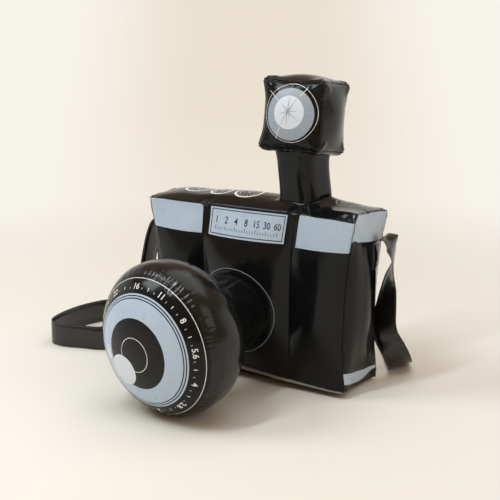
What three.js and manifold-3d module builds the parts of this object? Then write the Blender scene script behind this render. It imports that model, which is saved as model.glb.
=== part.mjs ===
// Inflatable camera prop: a boxy body, a ball lens and a flash head of welded glossy film,
// with a carrying strap and an air valve. Millimetres, +Z up, lens towards -Y.
import * as THREE from 'three';
import { mergeVertices } from 'three/addons/utils/BufferGeometryUtils.js';
import Module from 'manifold-3d';

const wasm = await Module();
wasm.setup();

// Film and welds
const FILM = 0.8;
const WELD_GAP = 0.3;
const LAID_GAP = 0.5;

// Body bag, corner tip to corner tip
const BODY_WIDTH = 312;
const BODY_DEPTH = 102;
const BODY_HEIGHT = 240;
const BODY_TAPER = 6;
const TIP_HEIGHT = 6;
const TIP_SHARPNESS = 2.4;
const POST_DRAW_SIDEWAYS = 10;
const POST_DRAW_DEEP = 3;
const SILL_DRAW_DEEP = 2;
const SILL_DRAW_UP = 3;
const END_DRAW_SIDEWAYS = 3;
const END_DRAW_UP = 3;
const CENTRE_CROWN = 20;
const SIDE_LOBE_CROWN = 13;
const TOP_CROWN = 13;
const BOTTOM_CROWN = 11;
const END_CROWN = 7;
const TIE_LINE = 72;
const TIE_WEB_SHORT = 24;

// Lens: neck and ball
const LENS_X = -12;
const LENS_Z = 104.5;
const LENS_NECK_RADIUS = 54;
const LENS_NECK_BALL_RADIUS = 50;
const COLLAR_WIDTH = 6;
const NECK_ENTRY = 3;
const BALL_X = -19.5;
const BALL_Y = -215;
const BALL_RADIUS = 102;
const BALL_REST = 0.3;
const BALL_TURN = 9.2;
const BALL_DROOP = 5;
const BALL_FRONT_DEPTH = 62.5;
const BALL_FRONT_FULLNESS = 1.95;
const BALL_REAR_DEPTH = 77;
const BALL_REAR_FULLNESS = 2.6;
const FRONT_SEAM_RADIUS = 94.5;
const REAR_SEAM_RADIUS = 93;
const SEAM_DIP = 1.2;
const SEAM_REACH = 7;

// Flash: neck and head, leaning back on its neck
const FLASH_X = 60.5;
const FLASH_WIDTH = 92;
const FLASH_DEPTH = 80;
const FLASH_HEIGHT = 97;
const FLASH_CENTRE_Z = 371.5;
const FLASH_LEAN = 9;
const FLASH_DRAW = 3;
const FLASH_CROWN = 8;
const FLASH_NECK_HALF = 28;
const FLASH_NECK_WAIST = 1.5;
const FLASH_NECK_SQUARENESS = 4.5;
const FLASH_NECK_TURN = -9;
const ROUND_NECK = 2;

// Strap
const STRAP_WIDTH = 36;
const STRAP_THICKNESS = 1;
const TAB_HEIGHT = 34;
const TAB_TOP_Z = 205;
const TAB_LEFT_LOWER = 10;
const TAB_RIGHT_Y = 20;
const TAB_LEFT_Y = 10;

// Air valve on the back
const VALVE_Z = 126;
const VALVE_FLANGE_RADIUS = 15;
const STEM_RADIUS = 5.5;
const STEM_BORE = 3.4;
const STEM_OUT = 12;
const STEM_IN = 14;
const RUNNING_GAP = 0.35;
const PLUG_HEAD_RADIUS = 6.6;
const PLUG_HEAD = 2.4;
const PLUG_NOSE = 4.5;
const PLUG_EAR = 2.6;
const STEM_LUG = 1.2;
const FLAP_THICKNESS = 1;

// Facet counts
const LOBE_STEPS = 6;
const CENTRE_STEPS = 8;
const HEIGHT_STEPS = 10;
const DEPTH_STEPS = 8;
const FLASH_STEPS = 8;
const ROUND_STEPS = 32;
const STRAP_STEPS = 96;

const V3 = (x, y, z) => new THREE.Vector3(x, y, z);

// Closed solids from rows of points

function geometryFrom(points, faces) {
  const geometry = new THREE.BufferGeometry();
  const flat = points.flatMap((p) => [p.x, p.y, p.z]);
  geometry.setAttribute('position', new THREE.Float32BufferAttribute(flat, 3));
  geometry.setIndex(faces);
  geometry.computeVertexNormals();
  return geometry;
}

// Sheet with thickness: outer and inner hold equal rows of points, and the rim joins them.
// The outer rows run so that (next column - point) x (next row - point) points outwards.
function sheetSolid(outer, inner, closedRows = false) {
  const rows = outer.length;
  const columns = outer[0].length;
  const points = [...outer.flat(), ...inner.flat()];
  const offset = rows * columns;
  const at = (r, c) => r * columns + (c % columns);
  const faces = [];
  const quad = (a, b, c, d) => faces.push(a, b, c, a, c, d);
  const lastColumn = closedRows ? columns : columns - 1;
  for (let r = 0; r < rows - 1; r += 1) {
    for (let c = 0; c < lastColumn; c += 1) {
      quad(at(r, c), at(r, c + 1), at(r + 1, c + 1), at(r + 1, c));
      quad(offset + at(r, c), offset + at(r + 1, c), offset + at(r + 1, c + 1), offset + at(r, c + 1));
    }
  }
  for (let c = 0; c < lastColumn; c += 1) {
    const end = rows - 1;
    quad(at(0, c), offset + at(0, c), offset + at(0, c + 1), at(0, c + 1));
    quad(at(end, c), at(end, c + 1), offset + at(end, c + 1), offset + at(end, c));
  }
  if (!closedRows) {
    for (let r = 0; r < rows - 1; r += 1) {
      const end = columns - 1;
      quad(at(r, 0), at(r + 1, 0), offset + at(r + 1, 0), offset + at(r, 0));
      quad(at(r, end), offset + at(r, end), offset + at(r + 1, end), at(r + 1, end));
    }
  }
  return geometryFrom(points, faces);
}

function toManifold(geometry) {
  const bare = geometry.clone();
  bare.deleteAttribute('normal');
  bare.deleteAttribute('uv');
  const merged = mergeVertices(bare, 1e-4);
  return new wasm.Manifold(new wasm.Mesh({
    numProp: 3,
    vertProperties: Float32Array.from(merged.attributes.position.array),
    triVerts: Uint32Array.from(merged.index.array),
  }));
}

function fromManifold(solid) {
  const mesh = solid.getMesh();
  const geometry = new THREE.BufferGeometry();
  geometry.setAttribute('position', new THREE.Float32BufferAttribute(mesh.vertProperties, 3));
  geometry.setIndex([...mesh.triVerts]);
  geometry.computeVertexNormals();
  return geometry;
}

const cut = (geometry, tool) => fromManifold(toManifold(geometry).subtract(toManifold(tool)));
const join = (geometry, other) => fromManifold(toManifold(geometry).add(toManifold(other)));

// Cylinder between two points, used for cuts and small pieces
function rod(from, to, radius, steps = ROUND_STEPS) {
  const along = to.clone().sub(from);
  const geometry = new THREE.CylinderGeometry(radius, radius, along.length(), steps);
  const turn = new THREE.Quaternion().setFromUnitVectors(V3(0, 1, 0), along.clone().normalize());
  geometry.applyQuaternion(turn);
  const middle = from.clone().add(to).multiplyScalar(0.5);
  geometry.translate(middle.x, middle.y, middle.z);
  return geometry;
}

// Inflated box bags. A bag has half sizes, draws of its twelve edges and crowns of its faces.
// An edge along one axis is drawn in, between its corner tips, along the two other axes.

const AXES = ['x', 'y', 'z'];
const evenSteps = (count) => Array.from({ length: count + 1 }, (_, i) => (2 * i) / count - 1);
const tipFade = (u) => 1 - Math.abs(u) ** TIP_SHARPNESS;

function bagPoint(bag, face, s, t) {
  const { normal, across, along, side } = face;
  const { half, draw } = bag;
  const point = V3(0, 0, 0);
  const fadeS = tipFade(s);
  const fadeT = tipFade(t);
  let height = half[normal];
  height -= draw[along][normal] * fadeT * s * s;
  height -= draw[across][normal] * fadeS * t * t;
  height += face.crown(s, t);
  point[normal] = side * Math.min(height, face.limit ?? Infinity);
  point[across] = s * (half[across] - draw[along][across] * fadeT);
  point[along] = t * (half[along] - draw[across][along] * fadeS);
  point.x *= 1 + (bag.taper / half.x) * (point.z / half.z);
  return point;
}

// The inner side of the film, drawn in towards the middle of the bag on each axis
function bagInner(bag, point) {
  const inner = point.clone();
  AXES.forEach((axis) => {
    inner[axis] *= 1 - FILM / bag.half[axis];
  });
  return inner;
}

function bagOutward(bag, face, s, t) {
  const step = 1e-3;
  const ds = bagPoint(bag, face, s + step, t).sub(bagPoint(bag, face, s - step, t));
  const dt = bagPoint(bag, face, s, t + step).sub(bagPoint(bag, face, s, t - step));
  const outward = ds.cross(dt).normalize();
  return outward[face.normal] * face.side < 0 ? outward.negate() : outward;
}

// Point over a face at real distances from the middle of the bag, lifted off the film
function overFace(bag, face, acrossAt, alongAt, lift) {
  let s = acrossAt / bag.half[face.across];
  let t = alongAt / bag.half[face.along];
  for (let i = 0; i < 12; i += 1) {
    const point = bagPoint(bag, face, s, t);
    s += (acrossAt - point[face.across]) / bag.half[face.across];
    t += (alongAt - point[face.along]) / bag.half[face.along];
  }
  return bagPoint(bag, face, s, t).addScaledVector(bagOutward(bag, face, s, t), lift);
}

// Rows of points over a face, held back from its welds by half the weld gap
function bagPanel(bag, face, acrossSteps, alongSteps) {
  const inset = (u, halfSize) => u * (1 - (WELD_GAP * 0.75) / halfSize);
  const outer = alongSteps.map((t) => acrossSteps.map((s) => bagPoint(
    bag,
    face,
    inset(s, bag.half[face.across]),
    inset(t, bag.half[face.along]),
  )));
  const inner = outer.map((row) => row.map((point) => bagInner(bag, point)));
  const forward = V3(0, 0, 0);
  forward[face.across] = 1;
  const upward = V3(0, 0, 0);
  upward[face.along] = 1;
  const facing = forward.cross(upward)[face.normal] * face.side;
  if (facing < 0) {
    outer.forEach((row) => row.reverse());
    inner.forEach((row) => row.reverse());
  }
  return sheetSolid(outer, inner);
}

// Sheet laid on a face between two real distances each way
function facePatch(bag, face, acrossRange, alongRange, steps) {
  const at = (range, i) => range[0] + ((range[1] - range[0]) * i) / steps;
  const rowsAt = (lift) => Array.from({ length: steps + 1 }, (_, r) => Array.from(
    { length: steps + 1 },
    (__, c) => overFace(bag, face, at(acrossRange, c), at(alongRange, r), lift),
  ));
  const outer = rowsAt(LAID_GAP + FILM);
  const inner = rowsAt(LAID_GAP);
  const first = outer[0][1].clone().sub(outer[0][0]);
  const second = outer[1][0].clone().sub(outer[0][0]);
  if (first.cross(second)[face.normal] * face.side < 0) {
    outer.forEach((row) => row.reverse());
    inner.forEach((row) => row.reverse());
  }
  return sheetSolid(outer, inner);
}

// Outline of a tube: a circle at squareness 2, a square with round corners above it, turned about its middle
function tubeOutline(half, squareness, turn) {
  const middle = new THREE.Vector2(0, 0);
  return Array.from({ length: ROUND_STEPS }, (_, i) => {
    const angle = (2 * Math.PI * (i + 0.5)) / ROUND_STEPS;
    const c = Math.cos(angle);
    const s = Math.sin(angle);
    const spread = (Math.abs(c) ** squareness + Math.abs(s) ** squareness) ** (1 / squareness);
    return new THREE.Vector2(c, s).multiplyScalar(half / spread).rotateAround(middle, turn);
  });
}

// Straight cutter with a tube's outline, along +Z
function outlineCutter(centre, half, squareness, turn, low, high) {
  const shape = new THREE.Shape(tubeOutline(half, squareness, turn));
  const geometry = new THREE.ExtrudeGeometry(shape, { depth: high - low, bevelEnabled: false });
  geometry.translate(centre.x, centre.y, low);
  return geometry;
}

// Ring laid on a face around a centre
function faceRing(bag, face, acrossAt, alongAt, innerHalf, outerHalf, squareness, turn = 0) {
  const rowsAt = (lift) => [innerHalf, outerHalf].map((half) => tubeOutline(half, squareness, turn).map(
    (offset) => overFace(bag, face, acrossAt + offset.x, alongAt + offset.y, lift),
  ));
  const outer = rowsAt(LAID_GAP + FILM);
  const inner = rowsAt(LAID_GAP);
  const first = outer[0][1].clone().sub(outer[0][0]);
  const second = outer[1][0].clone().sub(outer[0][0]);
  if (first.cross(second)[face.normal] * face.side < 0) {
    outer.forEach((row) => row.reverse());
    inner.forEach((row) => row.reverse());
  }
  return sheetSolid(outer, inner, true);
}

// Tube of film between two openings, leaving each one square to it
function bentTube(start, startWay, end, endWay, halfAt, squareness, turn, rings) {
  const reach = start.distanceTo(end) / 3;
  const curve = new THREE.CubicBezierCurve3(
    start,
    start.clone().addScaledVector(startWay, reach),
    end.clone().addScaledVector(endWay, -reach),
    end,
  );
  const ringAt = (i, thinner) => {
    const u = i / rings;
    const centre = curve.getPoint(u);
    const way = curve.getTangent(u);
    const right = V3(1, 0, 0).addScaledVector(way, -way.x).normalize();
    const up = way.clone().cross(right);
    return tubeOutline(halfAt(u) - thinner, squareness, turn).map((offset) => centre.clone()
      .addScaledVector(right, offset.x)
      .addScaledVector(up, offset.y));
  };
  const rows = (thinner) => Array.from({ length: rings + 1 }, (_, i) => ringAt(i, thinner));
  return sheetSolid(rows(0), rows(FILM), true);
}

// Body bag

const bodyHalf = { x: BODY_WIDTH / 2, y: BODY_DEPTH / 2, z: BODY_HEIGHT / 2 };
const bodyMiddle = V3(0, 0, TIP_HEIGHT + bodyHalf.z);
const bodyBag = {
  half: bodyHalf,
  taper: BODY_TAPER,
  draw: {
    x: { y: SILL_DRAW_DEEP, z: SILL_DRAW_UP },
    y: { x: END_DRAW_SIDEWAYS, z: END_DRAW_UP },
    z: { x: POST_DRAW_SIDEWAYS, y: POST_DRAW_DEEP },
  },
};

const tieAt = TIE_LINE / bodyHalf.x;
const softCrown = (s, t) => (1 - s * s) * (1 - t * t);

// Three upright lobes, tied back to the webs along two lines
function lobeCrown(s, t) {
  const rise = (1 - t * t) ** 1.3;
  if (Math.abs(s) <= tieAt) {
    return CENTRE_CROWN * (1 - (s / tieAt) ** 2) * rise;
  }
  const u = (2 * Math.abs(s) - 1 - tieAt) / (1 - tieAt);
  return SIDE_LOBE_CROWN * (1 - u * u) * rise;
}

const bodyFaces = {
  front: { normal: 'y', across: 'x', along: 'z', side: -1, crown: lobeCrown },
  back: { normal: 'y', across: 'x', along: 'z', side: 1, crown: lobeCrown },
  top: { normal: 'z', across: 'x', along: 'y', side: 1, crown: (s, t) => TOP_CROWN * softCrown(s, t) },
  bottom: {
    normal: 'z',
    across: 'x',
    along: 'y',
    side: -1,
    crown: (s, t) => BOTTOM_CROWN * softCrown(s, t),
    limit: bodyMiddle.z,
  },
  left: { normal: 'x', across: 'y', along: 'z', side: -1, crown: (s, t) => END_CROWN * softCrown(s, t) },
  right: { normal: 'x', across: 'y', along: 'z', side: 1, crown: (s, t) => END_CROWN * softCrown(s, t) },
};

function lobeSteps() {
  const outerLobe = Array.from({ length: LOBE_STEPS }, (_, i) => -1 + ((1 - tieAt) * i) / LOBE_STEPS);
  const centre = evenSteps(CENTRE_STEPS).map((u) => u * tieAt);
  return [...outerLobe, ...centre, ...outerLobe.map((u) => -u).reverse()];
}

const wideSteps = lobeSteps();
const tallSteps = evenSteps(HEIGHT_STEPS);
const deepSteps = evenSteps(DEPTH_STEPS);

const lensAt = V3(LENS_X, 0, LENS_Z).sub(bodyMiddle);
const lensSeat = overFace(bodyBag, bodyFaces.front, lensAt.x, lensAt.z, 0);
const flashSeat = overFace(bodyBag, bodyFaces.top, FLASH_X, 0, 0);
const valveSeat = overFace(bodyBag, bodyFaces.back, 0, VALVE_Z - bodyMiddle.z, 0);

const lensHole = rod(V3(lensSeat.x, -BODY_DEPTH, lensSeat.z), V3(lensSeat.x, 0, lensSeat.z),
  LENS_NECK_RADIUS + WELD_GAP);
const flashNeckTurn = THREE.MathUtils.degToRad(FLASH_NECK_TURN);
const flashNeckOuter = FLASH_NECK_HALF + WELD_GAP;
const flashHole = outlineCutter(V3(FLASH_X, 0, 0), flashNeckOuter, FLASH_NECK_SQUARENESS, flashNeckTurn,
  0, BODY_HEIGHT);
const valveHole = rod(V3(valveSeat.x, 0, valveSeat.z), V3(valveSeat.x, BODY_DEPTH, valveSeat.z),
  STEM_RADIUS + RUNNING_GAP);

const frontPanel = cut(bagPanel(bodyBag, bodyFaces.front, wideSteps, tallSteps), lensHole);
const backPanel = cut(bagPanel(bodyBag, bodyFaces.back, wideSteps, tallSteps), valveHole);
const topPanel = cut(bagPanel(bodyBag, bodyFaces.top, wideSteps, deepSteps), flashHole);
const bottomPanel = bagPanel(bodyBag, bodyFaces.bottom, wideSteps, deepSteps);
const leftPanel = bagPanel(bodyBag, bodyFaces.left, deepSteps, tallSteps);
const rightPanel = bagPanel(bodyBag, bodyFaces.right, deepSteps, tallSteps);

// Upright web inside the body that ties the front and back film together along a line
function tieWeb(sideways) {
  const low = -1 + TIE_WEB_SHORT / bodyHalf.z;
  const steps = HEIGHT_STEPS - 2;
  const edges = Array.from({ length: steps + 1 }, (_, i) => {
    const t = low + ((-2 * low) * i) / steps;
    return bagInner(bodyBag, bagPoint(bodyBag, bodyFaces.back, sideways * tieAt, t));
  });
  const row = (edge, shift) => {
    const reach = edge.y - WELD_GAP;
    return [V3(edge.x + shift, -reach, edge.z), V3(edge.x + shift, reach, edge.z)];
  };
  return sheetSolid(edges.map((e) => row(e, FILM / 2)), edges.map((e) => row(e, -FILM / 2)));
}

// Lens neck and ball

const degrees = THREE.MathUtils.degToRad;
const ballMiddle = V3(BALL_X, BALL_Y, BALL_RADIUS + BALL_REST);
const ballWay = V3(
  -Math.sin(degrees(BALL_TURN)) * Math.cos(degrees(BALL_DROOP)),
  -Math.cos(degrees(BALL_TURN)) * Math.cos(degrees(BALL_DROOP)),
  -Math.sin(degrees(BALL_DROOP)),
);

// Ball outline: distance from its axis and place along it, from the front pole (0) to the rear (1)
function ballOutline(u) {
  const angle = u * Math.PI;
  const front = angle <= Math.PI / 2;
  const depth = front ? BALL_FRONT_DEPTH : BALL_REAR_DEPTH;
  const power = 2 / (front ? BALL_FRONT_FULLNESS : BALL_REAR_FULLNESS);
  const radius = BALL_RADIUS * Math.max(Math.sin(angle), 0) ** power;
  const place = depth * Math.abs(Math.cos(angle)) ** power * (front ? 1 : -1);
  return new THREE.Vector2(radius, place);
}

function outlineAtRadius(radius, low, high) {
  let a = low;
  let b = high;
  const rising = ballOutline(high).x > ballOutline(low).x;
  for (let i = 0; i < 50; i += 1) {
    const middle = (a + b) / 2;
    if ((ballOutline(middle).x < radius) === rising) {
      a = middle;
    } else {
      b = middle;
    }
  }
  return (a + b) / 2;
}

const frontSeam = outlineAtRadius(FRONT_SEAM_RADIUS, 0, 0.5);
const rearSeam = outlineAtRadius(REAR_SEAM_RADIUS, 0.5, 1);
const neckMouth = outlineAtRadius(LENS_NECK_BALL_RADIUS + FILM + WELD_GAP, 0.5, 1);

// The film dips a little at each weld
function ballFilm(u, thinner) {
  const step = 1e-4;
  const low = ballOutline(Math.max(u - step, 0));
  const high = ballOutline(Math.min(u + step, 1));
  const way = high.sub(low).normalize();
  const here = ballOutline(u);
  const dip = [frontSeam, rearSeam]
    .map((seam) => SEAM_DIP * Math.exp(-((((u - seam) * Math.PI * BALL_RADIUS) / SEAM_REACH) ** 2)))
    .reduce((sum, value) => sum + value, 0);
  const inward = u === 0 ? new THREE.Vector2(0, -1) : new THREE.Vector2(way.y, -way.x);
  return here.addScaledVector(inward, thinner + dip);
}

function ballPanel(from, to, steps) {
  const outer = Array.from({ length: steps + 1 }, (_, i) => ballFilm(from + ((to - from) * i) / steps, 0));
  const inner = Array.from({ length: steps + 1 }, (_, i) => ballFilm(from + ((to - from) * i) / steps, FILM));
  const profile = [...inner, ...outer.reverse()];
  if (from > 0) {
    profile.push(profile[0].clone());
  } else {
    profile[0].x = 0;
    profile[profile.length - 1].x = 0;
  }
  const geometry = new THREE.LatheGeometry(profile, ROUND_STEPS);
  geometry.deleteAttribute('normal');
  geometry.deleteAttribute('uv');
  const merged = mergeVertices(geometry, 1e-4);
  return merged;
}

const weldStep = WELD_GAP / (2 * Math.PI * BALL_RADIUS);
const lensFrontPanel = ballPanel(0, frontSeam - weldStep, 8);
const lensBand = ballPanel(frontSeam + weldStep, rearSeam - weldStep, 7);
const lensRearPanel = ballPanel(rearSeam + weldStep, neckMouth, 5);

const mouthPlace = ballFilm(neckMouth, 0).y;
const lensNeckEnd = ballMiddle.clone().addScaledVector(ballWay, mouthPlace + NECK_ENTRY);
const lensNeckStart = V3(lensSeat.x, lensSeat.y + NECK_ENTRY, lensSeat.z + bodyMiddle.z);

const lensNeck = bentTube(
  lensNeckStart,
  V3(0, -1, 0),
  lensNeckEnd,
  ballWay,
  (u) => THREE.MathUtils.lerp(LENS_NECK_RADIUS, LENS_NECK_BALL_RADIUS, THREE.MathUtils.smoothstep(u, 0, 1)),
  ROUND_NECK,
  0,
  6,
);

// Flash neck and head

const flashHalf = { x: FLASH_WIDTH / 2, y: FLASH_DEPTH / 2, z: FLASH_HEIGHT / 2 };
const even = { x: FLASH_DRAW, y: FLASH_DRAW, z: FLASH_DRAW };
const flashBag = { half: flashHalf, taper: 0, draw: { x: even, y: even, z: even } };
const flashCrown = (s, t) => FLASH_CROWN * softCrown(s, t);
const flashFaces = {
  front: { normal: 'y', across: 'x', along: 'z', side: -1, crown: flashCrown },
  back: { normal: 'y', across: 'x', along: 'z', side: 1, crown: flashCrown },
  top: { normal: 'z', across: 'x', along: 'y', side: 1, crown: flashCrown },
  bottom: { normal: 'z', across: 'x', along: 'y', side: -1, crown: flashCrown },
  left: { normal: 'x', across: 'y', along: 'z', side: -1, crown: flashCrown },
  right: { normal: 'x', across: 'y', along: 'z', side: 1, crown: flashCrown },
};
const flashSteps = evenSteps(FLASH_STEPS);
const flashPanel = (name) => bagPanel(flashBag, flashFaces[name], flashSteps, flashSteps);
const flashMouth = outlineCutter(V3(0, 0, 0), flashNeckOuter, FLASH_NECK_SQUARENESS, flashNeckTurn,
  -FLASH_HEIGHT, 0);

const flashHead = new THREE.Group();
flashHead.position.set(FLASH_X, 0, FLASH_CENTRE_Z);
flashHead.rotation.x = -degrees(FLASH_LEAN);
flashHead.updateMatrixWorld(true);

const mouthRim = overFace(flashBag, flashFaces.bottom, FLASH_NECK_HALF, 0, 0).z;
const flashNeckEnd = flashHead.localToWorld(V3(0, 0, mouthRim + NECK_ENTRY));
const flashNeckWay = V3(0, 0, 1).applyEuler(flashHead.rotation);
const flashNeckStart = V3(FLASH_X, 0, bodyMiddle.z + flashSeat.z - NECK_ENTRY);

const flashNeck = bentTube(
  flashNeckStart,
  V3(0, 0, 1),
  flashNeckEnd,
  flashNeckWay,
  (u) => FLASH_NECK_HALF - FLASH_NECK_WAIST * Math.sin(Math.PI * u),
  FLASH_NECK_SQUARENESS,
  flashNeckTurn,
  6,
);

// Strap: a flat band whose middle line passes these points, with the way its width lies at each

const STRAP_ROUTE = [
  [162.6, 20.2, 205.5, -0.19, 0.98, 0],
  [166, 20.8, 210, -0.12, 0.98, 0.02],
  [172.5, 22.5, 212, 0, 0.98, 0],
  [179.5, 26, 206.8, 0.1, 0.98, 0.02],
  [181, 31, 194, -0.2, 0.97, 0.04],
  [178.5, 38.5, 172, -0.42, 0.9, 0],
  [170.5, 47, 143, -0.8, 0.6, 0],
  [161.5, 56.5, 107.4, -0.95, 0.3, 0],
  [155.2, 65, 80.3, -0.97, 0.05, -0.1],
  [156.2, 69.5, 58.6, -0.8, -0.2, -0.54],
  [166, 71, 41.5, -0.73, -0.37, -0.56],
  [170.8, 78.5, 25.5, -0.75, -0.52, -0.42],
  [167, 95, 11, -0.77, -0.58, -0.25],
  [150, 124, 4, -0.84, -0.52, -0.05],
  [120, 172, 3, -0.85, -0.52, 0],
  [88, 216, 3, -0.75, -0.65, 0],
  [40, 240, 3, -0.35, -0.93, 0],
  [-50, 240, 3, 0.05, -1, 0],
  [-150, 212, 8, 0.25, -0.9, -0.4],
  [-230, 166, 16, 0.2, -0.4, -0.9],
  [-290, 116, 19, 0, 0, -1],
  [-336, 78, 19, 0, 0, -1],
  [-354, 30, 19, 0, 0, -1],
  [-354, -32, 19, 0, 0, -1],
  [-342, -60, 19, 0, 0, -1],
  [-320, -66, 19, 0, 0, -1],
  [-286, -58, 19, 0, 0, -1],
  [-252, -46, 20, 0, -0.1, -1],
  [-219, -32, 38, 0.1, -0.7, -0.8],
  [-203, -18, 80, 0, -1, -0.2],
  [-198, -8, 132, -0.05, -1, 0],
  [-193.5, 2, 178, -0.05, -1, 0],
  [-187.5, 8, 199.5, 0, -1, 0],
  [-177.5, 10, 206.5, -0.05, -1, 0],
  [-168.6, 10, 202.5, -0.07, -1, 0],
  [-164.6, 10, 195.5, -0.07, -1, 0],
];

function strapBand() {
  const line = new THREE.CatmullRomCurve3(STRAP_ROUTE.map(([x, y, z]) => V3(x, y, z)), false, 'centripetal');
  const faces = STRAP_ROUTE.map(([, , , x, y, z]) => V3(x, y, z));
  const lie = new THREE.CatmullRomCurve3(faces, false, 'centripetal');
  const rows = [];
  for (let i = 0; i <= STRAP_STEPS; i += 1) {
    const u = i / STRAP_STEPS;
    const middle = line.getPoint(u);
    const way = line.getTangent(u);
    const width = lie.getPoint(u);
    width.addScaledVector(way, -width.dot(way)).normalize();
    const face = way.clone().cross(width);
    const corner = (w, f) => middle.clone()
      .addScaledVector(width, (w * STRAP_WIDTH) / 2)
      .addScaledVector(face, (f * STRAP_THICKNESS) / 2);
    rows.push([corner(-1, 1), corner(1, 1), corner(1, -1), corner(-1, -1)]);
  }
  const outer = rows.map((row) => [row[0], row[1]]);
  const inner = rows.map((row) => [row[3], row[2]]);
  return sheetSolid(inner, outer);
}

const tabRange = (middle) => [middle - STRAP_WIDTH / 2, middle + STRAP_WIDTH / 2];
const tabHeights = (lower) => [TAB_TOP_Z - TAB_HEIGHT, TAB_TOP_Z].map((z) => z - lower - bodyMiddle.z);

// Air valve, along +Y from its seat on the back film

const valveAt = valveSeat.clone().add(bodyMiddle);
const alongValve = (place) => V3(valveAt.x, valveAt.y + place, valveAt.z);

function tubeAlongValve(low, high, outerRadius, innerRadius) {
  const outer = rod(alongValve(low), alongValve(high), outerRadius, 24);
  const inner = rod(alongValve(low - 1), alongValve(high + 1), innerRadius, 24);
  return cut(outer, inner);
}

const flangeFace = LAID_GAP + FILM;
const stemMouth = flangeFace + STEM_OUT;
const stemTube = tubeAlongValve(-STEM_IN, stemMouth, STEM_RADIUS, STEM_BORE);
const lugTop = (STEM_RADIUS + STEM_BORE) / 2;
const lugDrop = PLUG_HEAD_RADIUS + PLUG_EAR - lugTop;
const lugGeometry = new THREE.BoxGeometry(PLUG_EAR * 2, STEM_LUG, lugDrop);
lugGeometry.translate(valveAt.x, valveAt.y + stemMouth - STEM_LUG / 2, valveAt.z - lugTop - lugDrop / 2);
const valveStem = join(stemTube, lugGeometry);

const plugSeat = stemMouth + WELD_GAP;
const plugHead = rod(alongValve(plugSeat), alongValve(plugSeat + PLUG_HEAD), PLUG_HEAD_RADIUS, 24);
const noseTop = STEM_BORE - RUNNING_GAP;
const noseGeometry = new THREE.CylinderGeometry(noseTop, noseTop * 0.6, PLUG_NOSE + PLUG_HEAD / 2, 20);
noseGeometry.translate(valveAt.x, valveAt.y + plugSeat + (PLUG_HEAD / 2 - PLUG_NOSE) / 2, valveAt.z);
const earGeometry = new THREE.BoxGeometry(PLUG_EAR * 2, PLUG_HEAD, PLUG_EAR * 2);
earGeometry.translate(valveAt.x, valveAt.y + plugSeat + PLUG_HEAD / 2, valveAt.z - PLUG_HEAD_RADIUS);
const valvePlug = join(join(plugHead, noseGeometry), earGeometry);

const flapFace = -STEM_IN - WELD_GAP;
const valveFlap = rod(alongValve(flapFace - FLAP_THICKNESS), alongValve(flapFace), STEM_RADIUS, 24);

// Scene graph

const black = 0x0b0b0c;
function filmLook(colour, roughness) {
  return new THREE.MeshStandardMaterial({ color: colour, roughness, metalness: 0 });
}

const camera = new THREE.Group();
const bodyGroup = new THREE.Group();
bodyGroup.position.copy(bodyMiddle);
const ballGroup = new THREE.Group();
ballGroup.position.copy(ballMiddle);
ballGroup.quaternion.setFromUnitVectors(V3(0, 1, 0), ballWay);
camera.add(bodyGroup, ballGroup, flashHead);

function place(group, name, geometry, colour = black, roughness = 0.28) {
  const mesh = new THREE.Mesh(geometry, filmLook(colour, roughness));
  mesh.name = name;
  group.add(mesh);
}

place(bodyGroup, 'body_front_panel', frontPanel);
place(bodyGroup, 'body_back_panel', backPanel);
place(bodyGroup, 'body_top_panel', topPanel);
place(bodyGroup, 'body_bottom_panel', bottomPanel);
place(bodyGroup, 'body_left_panel', leftPanel);
place(bodyGroup, 'body_right_panel', rightPanel);
place(bodyGroup, 'tie_web_left', tieWeb(-1), 0x1a1a1c, 0.4);
place(bodyGroup, 'tie_web_right', tieWeb(1), 0x1a1a1c, 0.4);
place(
  bodyGroup,
  'lens_neck_collar',
  faceRing(bodyBag, bodyFaces.front, lensSeat.x, lensSeat.z,
    LENS_NECK_RADIUS + WELD_GAP, LENS_NECK_RADIUS + WELD_GAP + COLLAR_WIDTH, ROUND_NECK),
);
place(
  bodyGroup,
  'flash_neck_collar',
  faceRing(bodyBag, bodyFaces.top, FLASH_X, 0,
    flashNeckOuter, flashNeckOuter + COLLAR_WIDTH, FLASH_NECK_SQUARENESS, flashNeckTurn),
);
place(
  bodyGroup,
  'valve_base',
  faceRing(bodyBag, bodyFaces.back, valveSeat.x, valveSeat.z,
    STEM_RADIUS + RUNNING_GAP, VALVE_FLANGE_RADIUS, ROUND_NECK),
  0x101012,
  0.35,
);
const leftTab = facePatch(bodyBag, bodyFaces.left, tabRange(TAB_LEFT_Y), tabHeights(TAB_LEFT_LOWER), 5);
place(bodyGroup, 'strap_tab_left', leftTab);
const rightTab = facePatch(bodyBag, bodyFaces.right, tabRange(TAB_RIGHT_Y), tabHeights(0), 5);
place(bodyGroup, 'strap_tab_right', rightTab);
place(camera, 'lens_neck', lensNeck);
place(ballGroup, 'lens_front_panel', lensFrontPanel, 0x9aa4ad, 0.25);
place(ballGroup, 'lens_band', lensBand);
place(ballGroup, 'lens_rear_panel', lensRearPanel);
place(camera, 'flash_neck', flashNeck);
place(flashHead, 'flash_front_panel', flashPanel('front'), 0x9aa4ad, 0.25);
place(flashHead, 'flash_back_panel', flashPanel('back'));
place(flashHead, 'flash_top_panel', flashPanel('top'));
place(flashHead, 'flash_bottom_panel', cut(flashPanel('bottom'), flashMouth));
place(flashHead, 'flash_left_panel', flashPanel('left'));
place(flashHead, 'flash_right_panel', flashPanel('right'));
place(camera, 'strap', strapBand(), 0x121212, 0.3);
place(camera, 'valve_stem', valveStem, 0x151516, 0.35);
place(camera, 'valve_plug', valvePlug, 0x151516, 0.35);
place(camera, 'valve_flap', valveFlap, 0x1c1c1e, 0.45);

export default camera;
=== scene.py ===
import itertools
import math

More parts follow.
